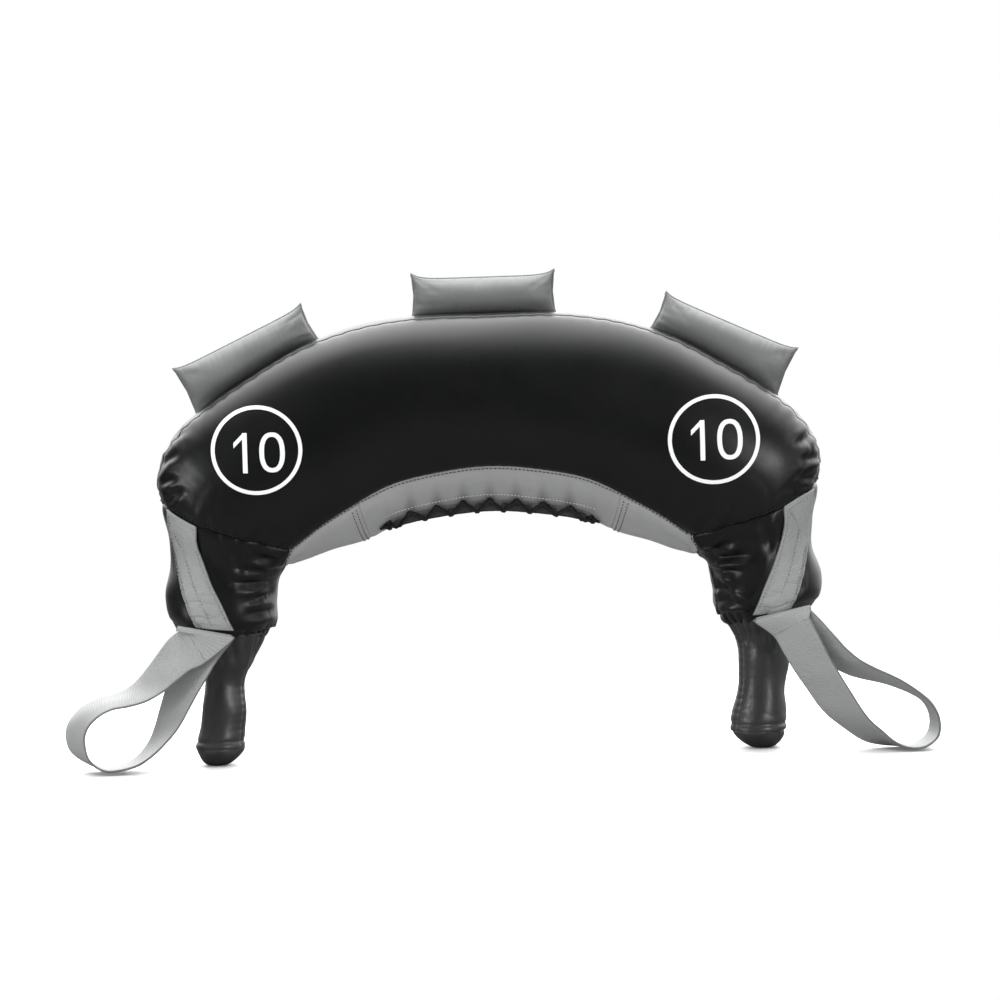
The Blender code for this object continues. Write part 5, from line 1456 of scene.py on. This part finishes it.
# A sack of fill between two stations: the plain skin drawn in, with rounded ends.
def makeSack(name, node, start, end):
    t = np.linspace(0, 1, sacks["rows"])
    u = start + (end - start) * t
    s = np.linspace(-3, 3, sacks["sides"], endpoint=False)
    grid, normals, _, _ = skinFrame(u[:, None], s[None])
    middle = grid.mean(1, keepdims=True)
    close = np.sqrt(np.clip(1 - np.abs(2 * t - 1) ** sacks["bluntness"], sacks["thinnest"], 1))[:, None, None]
    points = middle + (grid - normals * sacks["inside"] - middle) * close
    sack = addGrids(name, sackCloth, [points], [fromMiddle(points)], ring=True, caps=True)
    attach(sack, "shell")
    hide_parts(node)


makeSack("fillMiddle", "fill_middle", -2.9, 2.9)
makeSack("leftShoulderFill", "left_shoulder_fill", -7.85, -3.1)
makeSack("rightShoulderFill", "right_shoulder_fill", 3.1, 7.85)
makeSack("leftCuffFill", "left_cuff_fill", -13.2, -8.15)
makeSack("rightCuffFill", "right_cuff_fill", 8.15, 13.2)
print("fill made")


# The white print at each shoulder, in metres: a ring and the number 10. Each print's own values are
# its middle in the view from the front, and how much lower its number sits.
prints = {
    "left": (-0.2022, 0.2855, 0.0022), "right": (0.1973, 0.2818, 0.0004), "start": (5.3, 1.5),
    "radius": 0.0404, "tall": 0.965, "line": 0.0035, "lift": 0.00035, "bandSteps": 5,
    "digitHeight": 0.0350, "digitStroke": 0.0042, "zeroHalf": 0.0112, "zeroAt": 0.0138, "oneAt": -0.0102,
    "zeroBend": 2 / 2.35, "zeroFlat": 0.92,
    # The one's flag: its length, the depths below the top where it meets the stem, and how far its
    # edges drop along it.
    "flagLength": 0.0078, "flagTop": 0.0004, "flagLow": 0.0048, "flagDrops": (0.0036, 0.0083),
    "flagOverlap": 0.0003,
}


# Stations and columns of the front panel's places that show at x, z in the view from the front:
# Newton's steps from one place u, s, each held within bounds.
def frontPlaces(x, z, u, s):
    step = 0.02
    u, s = np.full(x.shape, float(u)), np.full(x.shape, float(s))
    for _ in range(9):
        here = skinPoint(u, s)
        beside = skinPoint(u + step, s), skinPoint(u, s + step)
        alongU, alongS = ((place - here)[..., (0, 2)] / step for place in beside)
        miss = np.stack((x, z), -1) - here[..., (0, 2)]
        area = alongU[..., 0] * alongS[..., 1] - alongU[..., 1] * alongS[..., 0]
        u = u + np.clip((miss[..., 0] * alongS[..., 1] - miss[..., 1] * alongS[..., 0]) / area, -0.5, 0.5)
        s = s + np.clip((miss[..., 1] * alongU[..., 0] - miss[..., 0] * alongU[..., 1]) / area, -0.2, 0.2)
    return u, s


# Grids of a print's ring, nought and one, in metres about its middle: each is a band between an
# outer and an inner outline, and the nought's is a superellipse.
def printGrids():
    t = np.linspace(0, 2 * pi, 97)
    band = np.linspace(0, 1, prints["bandSteps"])[:, None]
    radius = prints["radius"] - prints["line"] * band
    ring = radius * np.cos(t), prints["tall"] * radius * np.sin(t)

    half, height, stroke = prints["zeroHalf"], prints["digitHeight"] / 2, prints["digitStroke"]
    wide, tall = half - stroke * band, height - stroke * prints["zeroFlat"] * band
    across, up = (np.sign(wave) * np.abs(wave) ** prints["zeroBend"] for wave in (np.cos(t), np.sin(t)))
    nought = prints["zeroAt"] + wide * across, tall * up

    left = prints["oneAt"] - stroke / 2
    stem = left + stroke * band, -height + 2 * height * np.linspace(0, 1, 30)[None]

    flag = np.linspace(0, 1, 12)[None]
    top, low, tip = height - prints["flagTop"], height - prints["flagLow"], left - prints["flagLength"]
    slope = (top - low + prints["flagDrops"][0]) * flag
    upper, lower = (low - drop + slope for drop in prints["flagDrops"])
    flag = tip + (left + prints["flagOverlap"] - tip) * flag, lower + (upper - lower) * band
    return [np.stack(np.broadcast_arrays(*grid), -1) for grid in (ring, nought, stem, flag)]


def makePrint(name, centre, start):
    points, normals = [], []
    for index, grid in enumerate(printGrids()):
        drop = centre[2] if index else 0.0
        u, s = frontPlaces(centre[0] + grid[..., 0], centre[1] - drop + grid[..., 1], *start)
        place, out = sewnFrame(u, s, prints["lift"])
        points.append(place)
        normals.append(out)
    ink = addGrids(name, whiteInk, points, normals)
    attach(ink, "shell")


station, column = prints["start"]
makePrint("leftPrint", prints["left"], (-station, column))
makePrint("rightPrint", prints["right"], (station, column))
print("prints made")


studio = {
    "seenFloor": 0.93, "plainFloor": 0.42, "mirroredFloor": 0.09, "floorRoughness": 0.7, "floorSpecular": 0.1,
    "glow": 0.085, "fade": (0.50, 1.05), "size": 6.0,
    # Light of the room seen from the piece, dim at the horizon and bright overhead: for diffuse
    # shading and for mirroring.
    "plain": ((0.10, (0.34, 0.34, 0.345)), (0.95, (0.95, 0.95, 0.96))),
    "mirrored": ((0.05, (0.020, 0.021, 0.022)), (0.35, (0.42, 0.42, 0.43)), (0.60, (2.20, 2.20, 2.24)),
                 (0.90, (4.20, 4.20, 4.26))),
    "brightWay": (0.10, 0.54, 0.835),
}


# A floor that fades into the white background, bright where the camera sees it and duller where
# the vinyl mirrors it.
def makeFloor(settings):
    corners = np.array(((-1, -1, 0), (1, -1, 0), (1, 1, 0), (-1, 1, 0))) * settings["size"]
    mesh = bpy.data.meshes.new("floor")
    mesh.from_pydata(corners.tolist(), [], [(0, 1, 2, 3)])
    tree = Tree("floor")
    away = tree.node("VectorMath", {"operation": "LENGTH"}, tree.place(), out="Value")
    fade = tree.node("MapRange", {"interpolation_type": "SMOOTHSTEP"}, away, *settings["fade"], 0.0, 1.0)
    seen, mirrored = (tree.node("LightPath", out=name) for name in ("Is Camera Ray", "Is Glossy Ray"))
    dull = tree.mixColour(mirrored, (settings["plainFloor"],) * 3, (settings["mirroredFloor"],) * 3)
    tree.finish(tree.mixColour(seen, dull, (settings["seenFloor"],) * 3), settings["floorRoughness"],
                Specular_IOR_Level=settings["floorSpecular"])
    glow = tree.node("Emission", None, (1, 1, 1, 1), seen * settings["glow"])
    both = tree.node("AddShader", None, Sock(tree, tree.shader.outputs[0]), glow)
    clear = tree.node("BsdfTransparent")
    # Clear far away, and clear for a camera that looks up from underneath.
    below = tree.node("NewGeometry", out="Backfacing") * seen
    hidden = tree.node("Math", {"operation": "MAXIMUM"}, fade, below)
    mixed = tree.node("MixShader", None, hidden, both, clear)
    tree.links.new(mixed.out, tree.nodes["Material Output"].inputs["Surface"])
    addObject("floor", mesh, tree.material)


# White for the camera; for everything else a dark room with a bright ceiling.
def makeWorld(settings):
    world = bpy.data.worlds.new("studio")
    bpy.context.scene.world = world
    world.use_nodes = True
    nodes, links = world.node_tree.nodes, world.node_tree.links
    path, place = nodes.new("ShaderNodeLightPath"), nodes.new("ShaderNodeTexCoord")
    rooms = []
    for name, way in (("plain", (0, 0, 1)), ("mirrored", settings["brightWay"])):
        toward = nodes.new("ShaderNodeVectorMath")
        toward.operation = "DOT_PRODUCT"
        toward.inputs[1].default_value = way
        links.new(place.outputs["Generated"], toward.inputs[0])
        room = nodes.new("ShaderNodeValToRGB")
        setStops(room.color_ramp, settings[name])
        links.new(toward.outputs["Value"], room.inputs[0])
        rooms.append(room.outputs[0])
    lit = None
    for output, first, second in (("Is Glossy Ray", *rooms), ("Is Camera Ray", None, (1, 1, 1, 1))):
        mix = nodes.new("ShaderNodeMix")
        mix.data_type = "RGBA"
        links.new(path.outputs[output], mix.inputs[0])
        links.new(first or lit, mix.inputs[6])
        if isinstance(second, tuple):
            mix.inputs[7].default_value = second
        else:
            links.new(second, mix.inputs[7])
        lit = mix.outputs[2]
    links.new(lit, nodes["Background"].inputs["Color"])


# A lamp that lights the piece, and is mirrored in it only where mirrored is True.
def addSoftbox(name, place, target, size, power, mirrored=False):
    data = bpy.data.lights.new(name, "AREA")
    data.shape = "RECTANGLE"
    data.size, data.size_y = size
    data.energy = power
    lamp = bpy.data.objects.new(name, data)
    lamp.visible_glossy = mirrored
    bpy.context.scene.collection.objects.link(lamp)
    lamp.matrix_world = aimedAt(target, place)


# Name, place, target, width and height, watts, and whether the vinyl mirrors it.
softboxes = (
    ("overhead", (0.0, 0.45, 1.9), (0, 0.05, 0.2), (2.8, 1.6), 62),
    ("back", (0.0, 2.0, 1.15), (0, 0, 0.3), (3.2, 1.1), 70),
    ("key", (-0.6, -1.9, 2.1), (-0.05, 0, 0.25), (1.3, 1.2), 26),
    ("leftStrip", (-1.25, -2.1, 0.42), (-0.2, 0, 0.15), (1.2, 0.9), 9.0),
    ("leftSide", (-1.90, -1.15, 0.28), (-0.2, 0, 0.05), (0.5, 0.45), 9.0, True),
    ("rightStrip", (1.45, -1.75, 0.24), (0.2, 0, 0.05), (0.4, 0.4), 10.0, True),
    ("rightSide", (2.0, -0.5, 0.6), (0.2, 0, 0.2), (0.4, 1.1), 3.5, True),
)
makeFloor(studio)
makeWorld(studio)
for softbox in softboxes:
    addSoftbox(*softbox)
bpy.context.scene.view_settings.view_transform = "Standard"
print("studio made")
